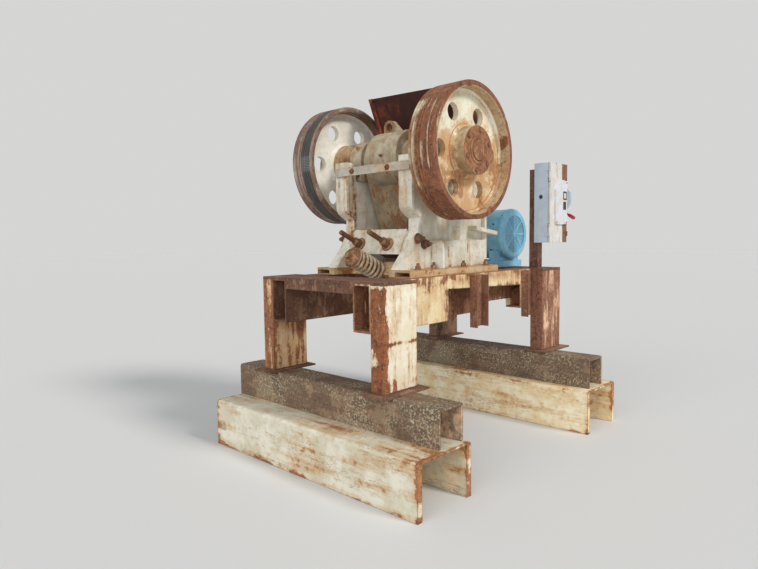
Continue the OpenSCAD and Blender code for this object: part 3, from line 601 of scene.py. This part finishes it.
def wheelCoat(name, look):
    zones, levels = wheelZones, wheelLevels
    material, work = freshMaterial(name)
    where = work.node("ShaderNodeTexCoord").outputs["Object"]
    x, y, z = work.split(work.vector("SUBTRACT", where, at(*wheelCentre)))
    radius = work.vector("LENGTH", work.join(0.0, y, z))
    turnedIn = work.join(work.times(work.add(x, radius), levels["ringScale"]),
                         work.times(y, levels["roundScale"]), work.times(z, levels["roundScale"]))
    rings = work.noise(turnedIn, 1.0, 4.0, 0.55)
    rim = work.rise(radius, *zones["rim"])
    hub = work.rest(work.rise(radius, *zones["hub"]))
    nearHub = work.rest(work.rise(radius, *zones["nearHub"]))
    inside = work.times(rim, work.rest(work.rise(radius, *zones["inside"])))
    endFace = work.times(hub, work.rise(work.maths("ABSOLUTE", x), *zones["endFace"]))

    def parted(key):
        web, onRim, onHub = (tone(look[zone][key]) for zone in ("web", "rim", "hub"))
        return work.blend(hub, work.blend(rim, web, onRim), onHub)

    rimRust = work.times(work.centred(rings, levels["rings"]), rim)
    extra = work.add(rustAt(work, where, look["places"]), work.times(endFace, look["faceRust"]),
                     work.times(nearHub, look["ringRust"]), rimRust)
    amount = work.between(rim, look["web"]["amount"], look["rim"]["amount"])
    amount = work.between(hub, amount, look["hub"]["amount"])
    patches = work.rise(work.noise(where, levels["patchScale"], 4.0, 0.65),
                        look["innerRust"], look["innerRust"] + levels["patchEdge"])
    lining = work.blend(patches, tone(look["innerRim"]), tone(look["rim"]["rust"]))
    innerHalf = work.rest(work.rise(x, *zones["innerHalf"]))
    ringed = work.times(work.times(work.rise(rings, *levels["ringed"]), innerHalf),
                        work.times(rim, levels["ringedShare"]))
    rust = work.blend(ringed, parted("rust"), tone(look["ringed"]))
    rust = work.blend(work.times(inside, levels["liningRust"]), rust, lining)
    dark = work.blend(work.times(inside, levels["liningDark"]), parted("dark"), lining)
    lowDown = work.add(work.centred(work.noise(where, 8.0, 5.0, 0.68), levels["washNoise"]),
                       work.times(z, levels["washDown"]), work.times(nearHub, 0.5),
                       rustAt(work, where, look["ochreAt"]), look["ochreLevel"])
    webOnly = work.rest(work.maths("MAXIMUM", rim, hub))
    washed = work.times(work.rise(lowDown, *levels["wash"]), work.times(webOnly, levels["washShare"]))
    ochre = tone(look["ochre"])
    dry = work.use(wornCoat, where=where, paint=work.blend(washed, parted("paint"), ochre),
                   shade=work.blend(washed, parted("shade"), ochre), stain=parted("stain"), dark=dark,
                   rust=rust, bright=parted("bright"), amount=amount, extra=extra, **wheelWear)
    lines = work.times(rings, rim, levels["lineHeight"])
    finishCoat(work, dry["color"], dry["roughness"], work.add(dry["height"], lines), {"round": 0.005})
    return material


beltLook = {"cover": (50, 49, 48), "worn": (88, 85, 81), "patch": (136, 142, 143),
            "across": 60.0, "along": 6.0, "lines": (0.35, 0.7), "bands": 520.0, "bandEdge": (-0.2, 0.6),
            "faded": (0.1, 0.65), "gloss": (0.55, 0.85),
            "spot": spot((-600, -640, 2084), (90, 60, 56), soft=10, ragged=24)}


def beltCoat(name, look):
    material, work = freshMaterial(name)
    where = work.node("ShaderNodeTexCoord").outputs["Object"]
    x, y, z = work.split(where)
    along = look["along"]
    drawn = work.join(work.times(x, look["across"]), work.times(y, along), work.times(z, along))
    lines = work.noise(drawn, 1.0, 5.0, 0.7)
    color = work.blend(work.rise(lines, *look["lines"]), tone(look["cover"]), tone(look["worn"]))
    bands = work.rise(work.maths("SINE", work.times(z, look["bands"])), *look["bandEdge"])
    faded = work.times(maskAt(work, where, look["spot"]), work.between(bands, *look["faded"]))
    color = work.blend(faded, color, tone(look["patch"]))
    roughness = work.between(lines, *look["gloss"])
    finishCoat(work, color, roughness, lines, {"depth": 0.0015, "round": 0.001})
    return material


made = {name: coat(name, look) for name, look in coats.items()}
made["wheelRight"] = wheelCoat("wheelRight", rightWheel)
made["wheelLeft"] = wheelCoat("wheelLeft", leftWheel)
made["beltSlate"] = beltCoat("beltSlate", beltLook)

nodeCoats = {
    "paleSkid": ["skid_lower_rear"], "tanSkid": ["skid_lower_front"],
    "darkSkid": ["skid_upper_rear", "skid_upper_front"],
    "footPlate": ["foot_plates"], "legRearLeft": ["leg_rear_left"], "legFrontLeft": ["leg_front_left"],
    "legFrontRight": ["leg_front_right"], "legRearRight": ["leg_rear_right"], "beamPale": ["side_beam_right"],
    "beamBrown": ["side_beam_left", "cross_beam_rear", "cross_beam_front"],
    "hangerBrown": ["drop_channel", "stub_channel"],
    "framePaint": ["side_frame_left", "side_frame_right", "toggle_block", "front_frame"],
    "barPaint": ["rear_bar"], "castPaint": ["pitman", "bearing_left", "bearing_right"],
    "basePaint": ["crusher_base"], "jawSteel": ["fixed_jaw", "swing_jaw", "toggle_plate"],
    "rodRust": ["adjusting_rods"], "boltRust": ["tension_rod"], "springCoat": ["tension_spring"],
    "hopperCoat": ["hopper"], "shaftRust": ["eccentric_shaft"], "wheelRight": ["flywheel_right"],
    "wheelLeft": ["flywheel_left"], "beltSlate": ["drive_belt"], "pulleyIronAndScrewShade": ["motor_pulley"],
    "motorBlue": ["motor_body", "motor_fan_cover", "motor_base", "terminal_box"],
    "postRust": ["switch_post"], "boxGrey": ["switch_box"], "doorWhite": ["switch_door"],
    "leverRed": ["switch_handle"],
}
for coatName, nodes in nodeCoats.items():
    for node in nodes:
        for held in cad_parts[node].material_slots:
            held.material = made[coatName]
print("coats on", sum(len(nodes) for nodes in nodeCoats.values()), "nodes")


# Shape helpers: profiles and outlines are in the millimetres of the seat that they are given

toRear, toRight, toLeft, upward = (0, -1, 0), (1, 0, 0), (-1, 0, 0), (0, 0, 1)
shaftAxis = wheelCentre[1:]


def facing(axis):  # a rotation whose local Z lies along axis
    return Vector(axis).to_track_quat("Z", "Y").to_matrix().to_4x4()


def placed(place, turn):  # local millimetres at a place
    return Matrix.Translation(at(*place)) @ turn @ Matrix.Scale(0.001, 4)


def seatAt(place, axis):
    return placed(place, facing(axis))


def spoke(angle):  # a direction in the plane of the wheels
    return Vector((0, math.cos(angle), math.sin(angle)))


def circle(radius, sides, phase=0.0):
    turns = (phase + math.tau * i / sides for i in range(sides))
    return [(radius * math.cos(turn), radius * math.sin(turn)) for turn in turns]


def loft(mesh, rings, closed=False):
    laid = [[mesh.verts.new(point) for point in ring] for ring in rings]
    pairs = list(zip(laid, laid[1:])) + ([(laid[-1], laid[0])] if closed else [])
    for low, high in pairs:
        for i in range(len(low)):
            j = (i + 1) % len(low)
            mesh.faces.new((low[i], low[j], high[j], high[i]))
    if not closed:
        mesh.faces.new(list(reversed(laid[0])))
        mesh.faces.new(laid[-1])


def spun(mesh, seat, profile, sides=24, phase=0.0):  # profile of (radius, height), capped at both ends
    loft(mesh, [[seat @ Vector((x, y, height)) for x, y in circle(radius, sides, phase)]
                for radius, height in profile])


def hoop(mesh, seat, profile, sides=48):  # closed profile of (radius, height) turned into a ring
    loft(mesh, [[seat @ Vector((radius * x, radius * y, height)) for radius, height in profile]
                for x, y in circle(1, sides)], closed=True)


def raised(mesh, seat, outline, thickness, bevel):  # outline of (x, y) with chamfered edges
    middle = sum((Vector(point) for point in outline), Vector((0, 0))) / len(outline)
    rings = []
    for inset, height in ((bevel, 0), (0, bevel), (0, thickness - bevel), (bevel, thickness)):
        arms = [Vector(point) - middle for point in outline]
        inner = [middle + arm * (1 - inset / arm.length) for arm in arms]
        rings.append([seat @ Vector((x, y, height)) for x, y in inner])
    loft(mesh, rings)


def block(mesh, low, high, bevel):  # a chamfered block between two corners
    (x0, y0, z0), (x1, y1, z1) = low, high
    outline = [(y0, z0), (y1, z0), (y1, z1), (y0, z1)]
    rings = []
    for inset, x in ((bevel, x0), (0, x0 + bevel), (0, x1 - bevel), (bevel, x1)):
        rings.append([at(x, y + (inset if y == y0 else -inset), z + (inset if z == z0 else -inset))
                      for y, z in outline])
    loft(mesh, rings)


headShape = {"straight": 0.82, "crown": 0.88}


def hexHead(mesh, seat, look, phase=0.0):
    radius, height, lift = look["flats"] / math.sqrt(3), look["height"], look.get("lift", 0)
    profile = [(radius, lift), (radius, lift + height * headShape["straight"]),
               (radius * headShape["crown"], lift + height)]
    spun(mesh, seat, profile, 6, phase)


def washer(mesh, seat, radius, thickness):
    spun(mesh, seat, [(radius, 0), (radius, thickness * 0.7), (radius - thickness * 0.3, thickness)], 28)


threadShape = {"root": 0.9, "tip": 0.86, "sides": 14}


def threaded(mesh, seat, radius, start, length, pitch=3):
    profile = []
    count = max(2, round(length / pitch))
    for i in range(count):
        root = radius * threadShape["root"]
        profile += [(radius, start + i * pitch), (root, start + (i + 0.5) * pitch)]
    profile.append((radius * threadShape["tip"], start + count * pitch))
    spun(mesh, seat, profile, threadShape["sides"])


def fasten(mesh, seat, look, phase=0.0):  # washer, hexagon head and the thread that stands out of it
    if "washer" in look:
        washer(mesh, seat, *look["washer"])
    hexHead(mesh, seat, look, phase)
    if "thread" in look:
        threaded(mesh, seat, *look["thread"])


def fastened(look):  # a builder for rows of like fasteners: place, axis and turn of each
    def build(mesh):
        for place, axis, turn in look["rows"]:
            fasten(mesh, seatAt(place, axis), look, turn)
    return build


beadShape = {"waves": ((1, 2.1), (0.6, 0.7), (0.5, 5.3)), "end": 0.45, "sides": 7}


def bead(mesh, path, radius, step=8, wander=0.2):  # weld metal or slag laid along straight runs
    points = [at(*place) for place in path]
    for start, end in zip(points, points[1:]):
        along = end - start
        count = max(3, round(along.length / (step / 1000)))
        turn = along.to_track_quat("Z", "Y").to_matrix().to_4x4()
        rings = []
        for i in range(count + 1):
            swell = 1 + wander * sum(size * math.sin(i * rate) for size, rate in beadShape["waves"])
            swell *= radius / 1000 * (beadShape["end"] if i in (0, count) else 1)
            middle = start + along * (i / count)
            rings.append([middle + turn @ Vector((x, y, 0)) for x, y in circle(swell, beadShape["sides"])])
        loft(mesh, rings)


def piece(name, build, coatName, body="frame", crease=35):
    shape = bmesh.new()
    build(shape)
    bmesh.ops.recalc_face_normals(shape, faces=shape.faces)
    mesh = bpy.data.meshes.new(name)
    shape.to_mesh(mesh)
    shape.free()
    mesh.shade_smooth()
    mesh.set_sharp_from_angle(angle=math.radians(crease))
    mesh.materials.append(made[coatName])
    obj = bpy.data.objects.new(name, mesh)
    bpy.context.scene.collection.objects.link(obj)
    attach(obj, body)
    return obj


# Pieces of the crusher

barBolts = {"rows": [((-249, -500, 2011), toRear, 0.4), ((100, -500, 2011), toRear, 1.4)],
            "washer": (21, 3), "lift": 3, "flats": 26, "height": 13, "thread": (8, 16, 9)}
piece("bar_bolts", fastened(barBolts), "boltRust")

wallStuds = {"rows": [((295, -409, 1515), toRight, 0.5), ((-425, -409, 1515), toLeft, 0.5),
                      ((295, -339, 1477), toRight, 1.2), ((-425, -339, 1477), toLeft, 1.2)],
             "washer": (37, 6), "lift": 6, "flats": 46, "height": 32, "thread": (15, 38, 20)}
piece("wall_studs", fastened(wallStuds), "studBrown")

rodFittings = {"columns": (-203, 73), "outer": (-665, 1566), "slope": 25, "turn": 0.3,
               "washerAt": 214.5, "washer": (50, 8.5), "nutAt": 165, "flats": 52, "height": 20,
               "threadAt": 145, "thread": (18.2, 0, 142, 3.5)}


def buildRodFittings(mesh):
    slope = math.radians(rodFittings["slope"])
    inward = Vector((0, math.cos(slope), -math.sin(slope)))
    for x in rodFittings["columns"]:
        outer = Vector((x, *rodFittings["outer"]))
        seats = {key: seatAt(outer + inward * rodFittings[key], -inward)
                 for key in ("washerAt", "nutAt", "threadAt")}
        washer(mesh, seats["washerAt"], *rodFittings["washer"])
        hexHead(mesh, seats["nutAt"], rodFittings, rodFittings["turn"])
        threaded(mesh, seats["threadAt"], *rodFittings["thread"])


piece("rod_threads", buildRodFittings, "boltRust", crease=30)

springLook = {"foot": (-65, -430, 1283), "slope": 23, "length": 276, "radius": 64, "wire": 11,
              "turns": 7.6, "flatTurns": 0.75, "steps": 36, "sides": 14}


def springAxis():
    slope = math.radians(springLook["slope"])
    return Vector((0, -math.cos(slope), math.sin(slope)))


def buildSpring(mesh):
    seat = seatAt(springLook["foot"], springAxis())
    turns, flat, steps = (springLook[key] for key in ("turns", "flatTurns", "steps"))
    wire, radius, length = (springLook[key] for key in ("wire", "radius", "length"))
    total = round(turns * steps)
    points = []
    for i in range(total + 1):
        turn = i / steps
        climb = min(max((turn - flat) / (turns - 2 * flat), 0), 1)  # both end turns lie flat
        height = wire * 1.02 + climb * (length - 2.04 * wire)
        angle = turn * math.tau
        points.append(seat @ Vector((radius * math.cos(angle), radius * math.sin(angle), height)))
    rings = []
    for i, point in enumerate(points):
        ahead = points[min(i + 1, total)] - points[max(i - 1, 0)]
        turned = ahead.to_track_quat("Z", "Y").to_matrix()
        section = circle(wire / 1000, springLook["sides"])
        rings.append([point + turned @ Vector((x, y, 0)) for x, y in section])
    loft(mesh, rings)


springCoil = piece("spring_coil", buildSpring, "springCoat", crease=60)
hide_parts("tension_spring")

rodEnd = {"cap": 312, "washer": (36, 4), "lift": 3.5, "flats": 48, "height": 18, "turn": 0.2}


def buildRodEnd(mesh):
    outward = springAxis()
    place = Vector(springLook["foot"]) + outward * rodEnd["cap"]
    fasten(mesh, seatAt(place, outward), rodEnd, rodEnd["turn"])


piece("rod_end_nut", buildRodEnd, "boltRust")

anchors = {"rows": [((x, y, 1304), upward, turn) for x in (345, -475)
                    for y, turn in ((-467, 0), (-293, 0.7), (60, 1.4), (350, 2.1))],
           "washer": (30, 4), "lift": 4, "flats": 36, "height": 22, "thread": (11.5, 26, 18)}
piece("base_anchor_bolts", fastened(anchors), "boltRust")

bearingScrews = {"rows": [((x, -357, 2000), toRear, 0.2) for x in (-392, -328, 198, 262)],
                 "washer": (18, 3), "lift": 3, "flats": 28, "height": 14}
nipples = {"places": ((-360, 169, 143), (230, 169, 143), (-50, 209, 176)), "flats": 22, "height": 11,
           "tip": ((6, 11), (6, 18), (8.5, 21), (8.5, 25), (4, 29))}


def buildBearingScrews(mesh):  # two screws low on each housing, and the grease nipples
    fastened(bearingScrews)(mesh)
    for x, radius, angle in nipples["places"]:
        outward = spoke(math.radians(angle))
        seat = seatAt(Vector((x, *shaftAxis)) + outward * radius, outward)
        hexHead(mesh, seat, nipples)
        spun(mesh, seat, nipples["tip"], 16)


piece("bearing_screws", buildBearingScrews, "boltRust")

hubLook = {"faces": ((1, 642), (-1, -772)), "ring": ((71, -1), (96, -1), (94, 4), (74, 4)),
           "screws": 6, "start": 0.35, "circle": 135, "flats": 26, "height": 8.5, "lift": -1,
           "seat": (19.5, 1.2), "key": ((-11, -12), (11, -12), (11, 12), (-11, 12)), "keyAt": 62,
           "keyHeight": 7.8, "keyBevel": 1}


def hubScrews(side, x):  # the angle and the seat of each screw on one hub
    for i in range(hubLook["screws"]):
        angle = math.tau * (i + hubLook["start"]) / hubLook["screws"]
        place = Vector((x, *shaftAxis)) + spoke(angle) * hubLook["circle"]
        yield angle, seatAt(place, (side, 0, 0))


def buildHubFittings(mesh):
    for side, x in hubLook["faces"]:
        centre = Vector((x, *shaftAxis))
        hoop(mesh, seatAt(centre, (side, 0, 0)), hubLook["ring"], 56)
        for angle, seat in hubScrews(side, x):
            hexHead(mesh, seat, hubLook, angle)
        keyway = seatAt(centre + Vector((0, 0, hubLook["keyAt"])), (side, 0, 0))
        raised(mesh, keyway, hubLook["key"], hubLook["keyHeight"], hubLook["keyBevel"])


piece("hub_fittings", buildHubFittings, "shaftRust", "drive_shaft")


def buildHubScrewShade(mesh):  # painted shade: flat dark rings round the hub screws, in place of the shadow in their counterbores
    for side, x in hubLook["faces"]:
        for angle, seat in hubScrews(side, x):
            washer(mesh, seat, *hubLook["seat"])


piece("hub_screw_shade", buildHubScrewShade, "pulleyIronAndScrewShade", "drive_shaft")

# Cast fillets where each wheel's web meets its hub and its rim
filletLook = {"hub": ((160, -1), (192, -1), (182, 4), (172, 12), (166, 22), (160, 25)),
              "rim": ((420, -1), (420, 24), (416, 22), (410, 12), (402, 4), (392, -1)),
              "middles": {"right": 519, "left": -649}, "halfWeb": 20, "sides": 96}


def buildFillets(name):
    def build(mesh):
        for side in (1, -1):
            x = filletLook["middles"][name] + side * filletLook["halfWeb"]
            for key in ("hub", "rim"):
                hoop(mesh, seatAt((x, *shaftAxis), (side, 0, 0)), filletLook[key], filletLook["sides"])
    return build


piece("wheel_fillets_right", buildFillets("right"), "wheelRight", "drive_shaft")
piece("wheel_fillets_left", buildFillets("left"), "wheelLeft", "drive_shaft")

motorAxis = (1120, 1543)

# Belts: four strands side by side round the left wheel and the motor's pulley
beltRun = {"x": (-649, -564), "strands": 4, "gap": 1.2, "wheel": (*shaftAxis, 446), "wheelSteps": 96,
           "pulley": (*motorAxis, 130.3), "pulleySteps": 32, "foot": 0.72, "side": 8.5,
           "shoulder": (0.8, 10.6), "top": 11.6}


def beltPath():  # (y, z, radius, angle) along the loop
    (y0, z0, r0), (y1, z1, r1) = beltRun["wheel"], beltRun["pulley"]
    heading = math.atan2(z1 - z0, y1 - y0)
    lean = math.acos((r0 - r1) / math.hypot(y1 - y0, z1 - z0))
    far, near = beltRun["wheelSteps"], beltRun["pulleySteps"]
    path = [(y0, z0, r0, heading + lean + (math.tau - 2 * lean) * i / far) for i in range(far + 1)]
    return path + [(y1, z1, r1, heading - lean + 2 * lean * i / near) for i in range(near + 1)]


def buildBelts(mesh):
    x0, x1 = beltRun["x"]
    width = (x1 - x0) / beltRun["strands"]
    half = width / 2 - beltRun["gap"]
    (inset, shoulder), side, foot = beltRun["shoulder"], beltRun["side"], half * beltRun["foot"]
    section = [(-foot, 0), (foot, 0), (half, side), (half - inset, shoulder), (0, beltRun["top"]),
               (inset - half, shoulder), (-half, side)]
    for strand in range(beltRun["strands"]):
        middle = x0 + width * (strand + 0.5)
        loft(mesh, [[at(middle + dx, y + (r + dr) * math.cos(turn), z + (r + dr) * math.sin(turn))
                     for dx, dr in section] for y, z, r, turn in beltPath()], closed=True)


beltStrands = piece("belt_strands", buildBelts, "beltSlate", crease=30)
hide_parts("drive_belt")
print("crusher pieces made")


# Pieces of the motor

grille = {"x": 132, "inner": 30, "radius": 160, "rings": 10, "spokes": 8,
          "bar": ((0, 0.5), (9, 0.5), (9, 4), (7.5, 5.2), (1.5, 5.2), (0, 4)),
          "spoke": ((-5, 20), (5, 20), (8, 160.5), (-8, 160.5)), "spokeHeight": 8.5, "spokeBevel": 1.5,
          "hub": ((28, 0), (28, 6), (24, 9), (6, 9.5)),
          # the ring of painted shade behind the slots
          "shade": ((26.5, 0.1), (159.5, 0.1), (159.5, 0.6), (26.5, 0.6))}


def buildGrille(mesh):
    seat = seatAt((grille["x"], *motorAxis), toRight)
    pitch = (grille["radius"] - grille["inner"]) / grille["rings"]
    for i in range(grille["rings"]):
        radius = grille["inner"] + i * pitch
        hoop(mesh, seat, [(radius + out, height) for out, height in grille["bar"]], 64)
    for i in range(grille["spokes"]):
        turned = seat @ Matrix.Rotation(math.tau * i / grille["spokes"], 4, "Z")
        raised(mesh, turned, grille["spoke"], grille["spokeHeight"], grille["spokeBevel"])
    spun(mesh, seat, grille["hub"], 32)


piece("fan_grille", buildGrille, "motorBlue")


# painted shade: a dark disc behind the grille's slots, in place of the shadow inside the fan cover
def buildGrillePaintedShade(mesh):  # the dark behind the slots
    hoop(mesh, seatAt((grille["x"], *motorAxis), toRight), grille["shade"], 64)


piece("grille_painted_shade", buildGrillePaintedShade, "grillePaintedShade")

coverScrews = {"x": 109, "count": 4, "circle": 222.5, "flats": 12, "height": 3}
feetBolts = {"rows": [((x, y, 1399), upward, 0) for x in (-397, 8) for y in (958, 1282)],
             "flats": 30, "height": 16, "lift": -1}


def buildMotorBolts(mesh):
    for i in range(coverScrews["count"]):
        outward = spoke(math.tau * (i + 0.5) / coverScrews["count"])
        place = Vector((coverScrews["x"], *motorAxis)) + outward * coverScrews["circle"]
        hexHead(mesh, seatAt(place, outward), coverScrews)
    fastened(feetBolts)(mesh)


piece("motor_bolts", buildMotorBolts, "boltRust")

terminal = {"rows": [((x, 900, z), toRear, 0) for x in (-2, 88) for z in (1594, 1678)],
            "flats": 8, "height": 3, "lift": -0.5,
            "hole": (59, 900, 1628), "ring": ((10.2, -2), (14.5, -2), (13.5, 2.5), (10.8, 2.5)),
            "depth": 8, "holeShade": ((9.8, 0), (9.8, 1), (9, 1.2))}


def buildTerminalScrews(mesh):
    fastened(terminal)(mesh)
    hoop(mesh, seatAt(terminal["hole"], toRear), terminal["ring"], 28)


piece("terminal_box_screws", buildTerminalScrews, "motorBlue")


def buildTerminalHole(mesh):  # painted shade: a dark disc set inside the unused opening, in place of its shadowed inside
    x, y, z = terminal["hole"]
    spun(mesh, seatAt((x, y + terminal["depth"], z), toRear), terminal["holeShade"])


piece("terminal_hole", buildTerminalHole, "darkPlatesAndHoleShade")
print("motor pieces made")


# Pieces of the switch

boxLip = {"x": (575, 580), "y": (900, 1190), "z": (1468, 2113), "width": 9, "bevel": 1,
          "hole": (514, 900, 1840), "ring": ((16.5, -1), (21.5, -1), (20.5, 1.8), (17, 1.8)),
          "holeShade": ((16.3, -1), (16.3, 0.5), (15.5, 0.8))}


def buildBoxLip(mesh):  # rolled edge round the open front, and the ring of the unused opening
    (x0, x1), (y0, y1), (z0, z1), w = boxLip["x"], boxLip["y"], boxLip["z"], boxLip["width"]
    for low, high in (((x0, y0, z0), (x1, y1, z0 + w)), ((x0, y0, z1 - w), (x1, y1, z1)),
                      ((x0, y0, z0 + w), (x1, y0 + w, z1 - w)), ((x0, y1 - w, z0 + w), (x1, y1, z1 - w))):
        block(mesh, low, high, boxLip["bevel"])
    hoop(mesh, seatAt(boxLip["hole"], toRear), boxLip["ring"], 32)


piece("switch_box_lip", buildBoxLip, "boxGrey")


# painted shade: a dark disc inside the knockout, in place of its shadowed inside
def buildBoxHole(mesh):
    spun(mesh, seatAt(boxLip["hole"], toRear), boxLip["holeShade"], 28)


piece("knockout_hole", buildBoxHole, "darkPlatesAndHoleShade")

latches = {"low": (596.5, 1176), "high": (607.5, 1188), "z": (1520, 1880), "height": 40, "bevel": 2}
coverBolts = {"rows": [((609, y, z), toRight, 0.2) for y, z in ((990, 1632), (1158, 1632), (1158, 1960))],
              "flats": 11, "height": 4.2}


def buildDoorFittings(mesh):
    for z in latches["z"]:
        block(mesh, (*latches["low"], z), (*latches["high"], z + latches["height"]), latches["bevel"])
    fastened(coverBolts)(mesh)


piece("door_latches", buildDoorFittings, "boltRust", "door")

hinges = {"place": (583, 899), "z": (1590, 1960),
          "barrel": ((4.8, 0), (6, 1), (6, 17), (5.1, 17.8), (6, 18.6), (6, 33), (4.8, 34))}


def buildHinges(mesh):  # short barrels on the hinge line
    for z in hinges["z"]:
        spun(mesh, seatAt((*hinges["place"], z), upward), hinges["barrel"], 20)


piece("door_hinges", buildHinges, "boltRust")

doorPlates = {"x": (608.5, 610.9), "upper": (1097, 1161, 1818, 1888), "lower": (1099, 1150, 1737, 1803),
              "bevel": 0.6, "inset": {"x": (610.5, 611.5), "sides": 14, "foot": 12, "bevel": 0.3}}


def buildDoorPlates(mesh):  # two blank dark plates on the raised cover
    x0, x1 = doorPlates["x"]
    for y0, y1, z0, z1 in (doorPlates["upper"], doorPlates["lower"]):
        block(mesh, (x0, y0, z0), (x1, y1, z1), doorPlates["bevel"])


piece("door_plates", buildDoorPlates, "darkPlatesAndHoleShade", "door")


def buildPlateInset(mesh):
    (y0, y1, z0, z1), inset = doorPlates["upper"], doorPlates["inset"]
    (x0, x1), edge = inset["x"], inset["sides"]
    block(mesh, (x0, y0 + edge, z0 + inset["foot"]), (x1, y1 - edge, z1 - edge), inset["bevel"])


piece("door_plate_inset", buildPlateInset, "paleEnamel", "door")

lever = {"pivot": (524, 1190, 1745), "droop": 32,
         "boss": ((7.8, -12), (7.8, 19), (25.5, 19.2), (25.5, 29.5), (22.5, 32.8)),
         "shank": ((0, -9.5), (100, -8), (100, 8), (0, 9.5)), "shankAt": 39.5, "shankHeight": 11.2,
         "grip": ((86, -9), (98, -13.5), (140, -14.5), (149, -10), (152, 0), (149, 10), (140, 14.5),
                  (98, 13.5), (86, 9)), "gripAt": 43.8, "gripHeight": 17.6}


def buildLever(mesh):
    spun(mesh, seatAt(lever["pivot"], (0, 1, 0)), lever["boss"], 36)
    droop = math.radians(lever["droop"])
    along = Vector((math.cos(droop), 0, -math.sin(droop)))
    across = Vector((math.sin(droop), 0, math.cos(droop)))
    turned = Matrix((along, across, along.cross(across))).transposed().to_4x4()
    x, y, z = lever["pivot"]
    raised(mesh, placed((x, y + lever["shankAt"], z), turned), lever["shank"], lever["shankHeight"], 1.5)
    raised(mesh, placed((x, y + lever["gripAt"], z), turned), lever["grip"], lever["gripHeight"], 3)


switchLever = piece("switch_lever", buildLever, "leverRed", "handle")
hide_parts("switch_handle")
print("switch pieces made")


# Welds and torch marks on the stand

legWelds = {"corners": ((532, -1015), (532, 905), (-553, -1015), (-553, 905)), "depth": -108, "width": 305,
            "foot": 580, "footBead": 5.5, "head": 1239, "headBead": 4.5}


def buildLegWelds(mesh):
    for x, y in legWelds["corners"]:
        inner, far = x + legWelds["depth"], y + legWelds["width"]
        outline = [(inner, y), (x, y), (x, far), (inner, far)]
        bead(mesh, [(*corner, legWelds["foot"]) for corner in outline], legWelds["footBead"])
        bead(mesh, [(*corner, legWelds["head"]) for corner in outline[:3]], legWelds["headBead"])


piece("leg_welds", buildLegWelds, "weldSteel", crease=50)

hangerWelds = {"x": 425, "columns": (30, 180, 755, 905), "z": (1236, 1160), "radius": 4.5}
postFoot = {"x": (378, 454), "y": (960, 1036), "z": 1257, "radius": 4.5}


def buildHangerWelds(mesh):
    for y in hangerWelds["columns"]:
        bead(mesh, [(hangerWelds["x"], y, z) for z in hangerWelds["z"]], hangerWelds["radius"])
    (x0, x1), (y0, y1), z = postFoot["x"], postFoot["y"], postFoot["z"]
    bead(mesh, [(x0, y0, z), (x1, y0, z), (x1, y1, z), (x0, y1, z)], postFoot["radius"])


piece("hanger_welds", buildHangerWelds, "weldSteel", crease=50)

torchCut = {"runs": [[(418, -232, 1160), (418, 745, 1130)], [(418, -232, 942), (418, -232, 1160)],
                     [(278, 300, 1010), (278, 838, 1010)]], "radius": 4.2, "step": 7, "wander": 0.3}


def buildTorchSlag(mesh):  # the melted, uneven lip that the torch left
    for run in torchCut["runs"]:
        bead(mesh, run, torchCut["radius"], torchCut["step"], torchCut["wander"])


piece("torch_slag", buildTorchSlag, "weldSteel", crease=50)
print("stand pieces made")


# Floor, background and light

floorLook = {"half": 60, "color": (0.74, 0.735, 0.72, 1), "roughness": 0.9}


def makeFloor():
    half = floorLook["half"]
    corners = [(-half, -half, 0), (half, -half, 0), (half, half, 0), (-half, half, 0)]
    mesh = bpy.data.meshes.new("floor")
    mesh.from_pydata(corners, [], [(0, 1, 2, 3)])
    floor = bpy.data.objects.new("floor", mesh)
    bpy.context.scene.collection.objects.link(floor)
    material, work = freshMaterial("floorPale")
    surface = work.node("ShaderNodeBsdfPrincipled")
    surface.inputs["Base Color"].default_value = floorLook["color"]
    surface.inputs["Roughness"].default_value = floorLook["roughness"]
    work.feed(work.node("ShaderNodeOutputMaterial").inputs["Surface"], surface.outputs[0])
    mesh.materials.append(material)


keyLight = {"from": (0.78, 0.15, 0.6), "spread": 14, "strength": 1.75, "color": (1.0, 0.975, 0.94)}
fillLight = {"from": (0.32, -0.84, 0.42), "spread": 75, "strength": 1.95, "color": (0.96, 0.98, 1.0)}
lampHeight = 5


def addLamp(name, look):
    data = bpy.data.lights.new(name, "SUN")
    data.energy = look["strength"]
    data.angle = math.radians(look["spread"])
    data.color = look["color"]
    lamp = bpy.data.objects.new(name, data)
    lamp.matrix_world = Matrix.Translation((0, 0, lampHeight)) @ facing(look["from"])
    bpy.context.scene.collection.objects.link(lamp)


skyLook = {"seen": (0.668, 0.672, 0.66, 1), "glow": (0.92, 0.96, 1.0, 1), "strength": 0.3}


def makeWorld():
    world = bpy.data.worlds.new("studio")
    bpy.context.scene.world = world
    world.use_nodes = True
    world.node_tree.nodes.clear()
    work = bench(world.node_tree)
    ray = work.node("ShaderNodeLightPath").outputs
    mirrored = work.maths("MAXIMUM", ray["Is Glossy Ray"], ray["Is Transmission Ray"])
    seen = work.maths("MAXIMUM", ray["Is Camera Ray"], mirrored)
    back = work.node("ShaderNodeBackground")
    work.feed(back.inputs["Color"], work.blend(seen, skyLook["glow"], skyLook["seen"]))
    work.feed(back.inputs["Strength"], work.between(seen, skyLook["strength"], 1.0))
    work.feed(work.node("ShaderNodeOutputWorld").inputs["Surface"], back.outputs[0])


makeFloor()
addLamp("key", keyLight)
addLamp("fill", fillLight)
makeWorld()
bpy.context.scene.view_settings.view_transform = "Standard"
print("floor and light set")
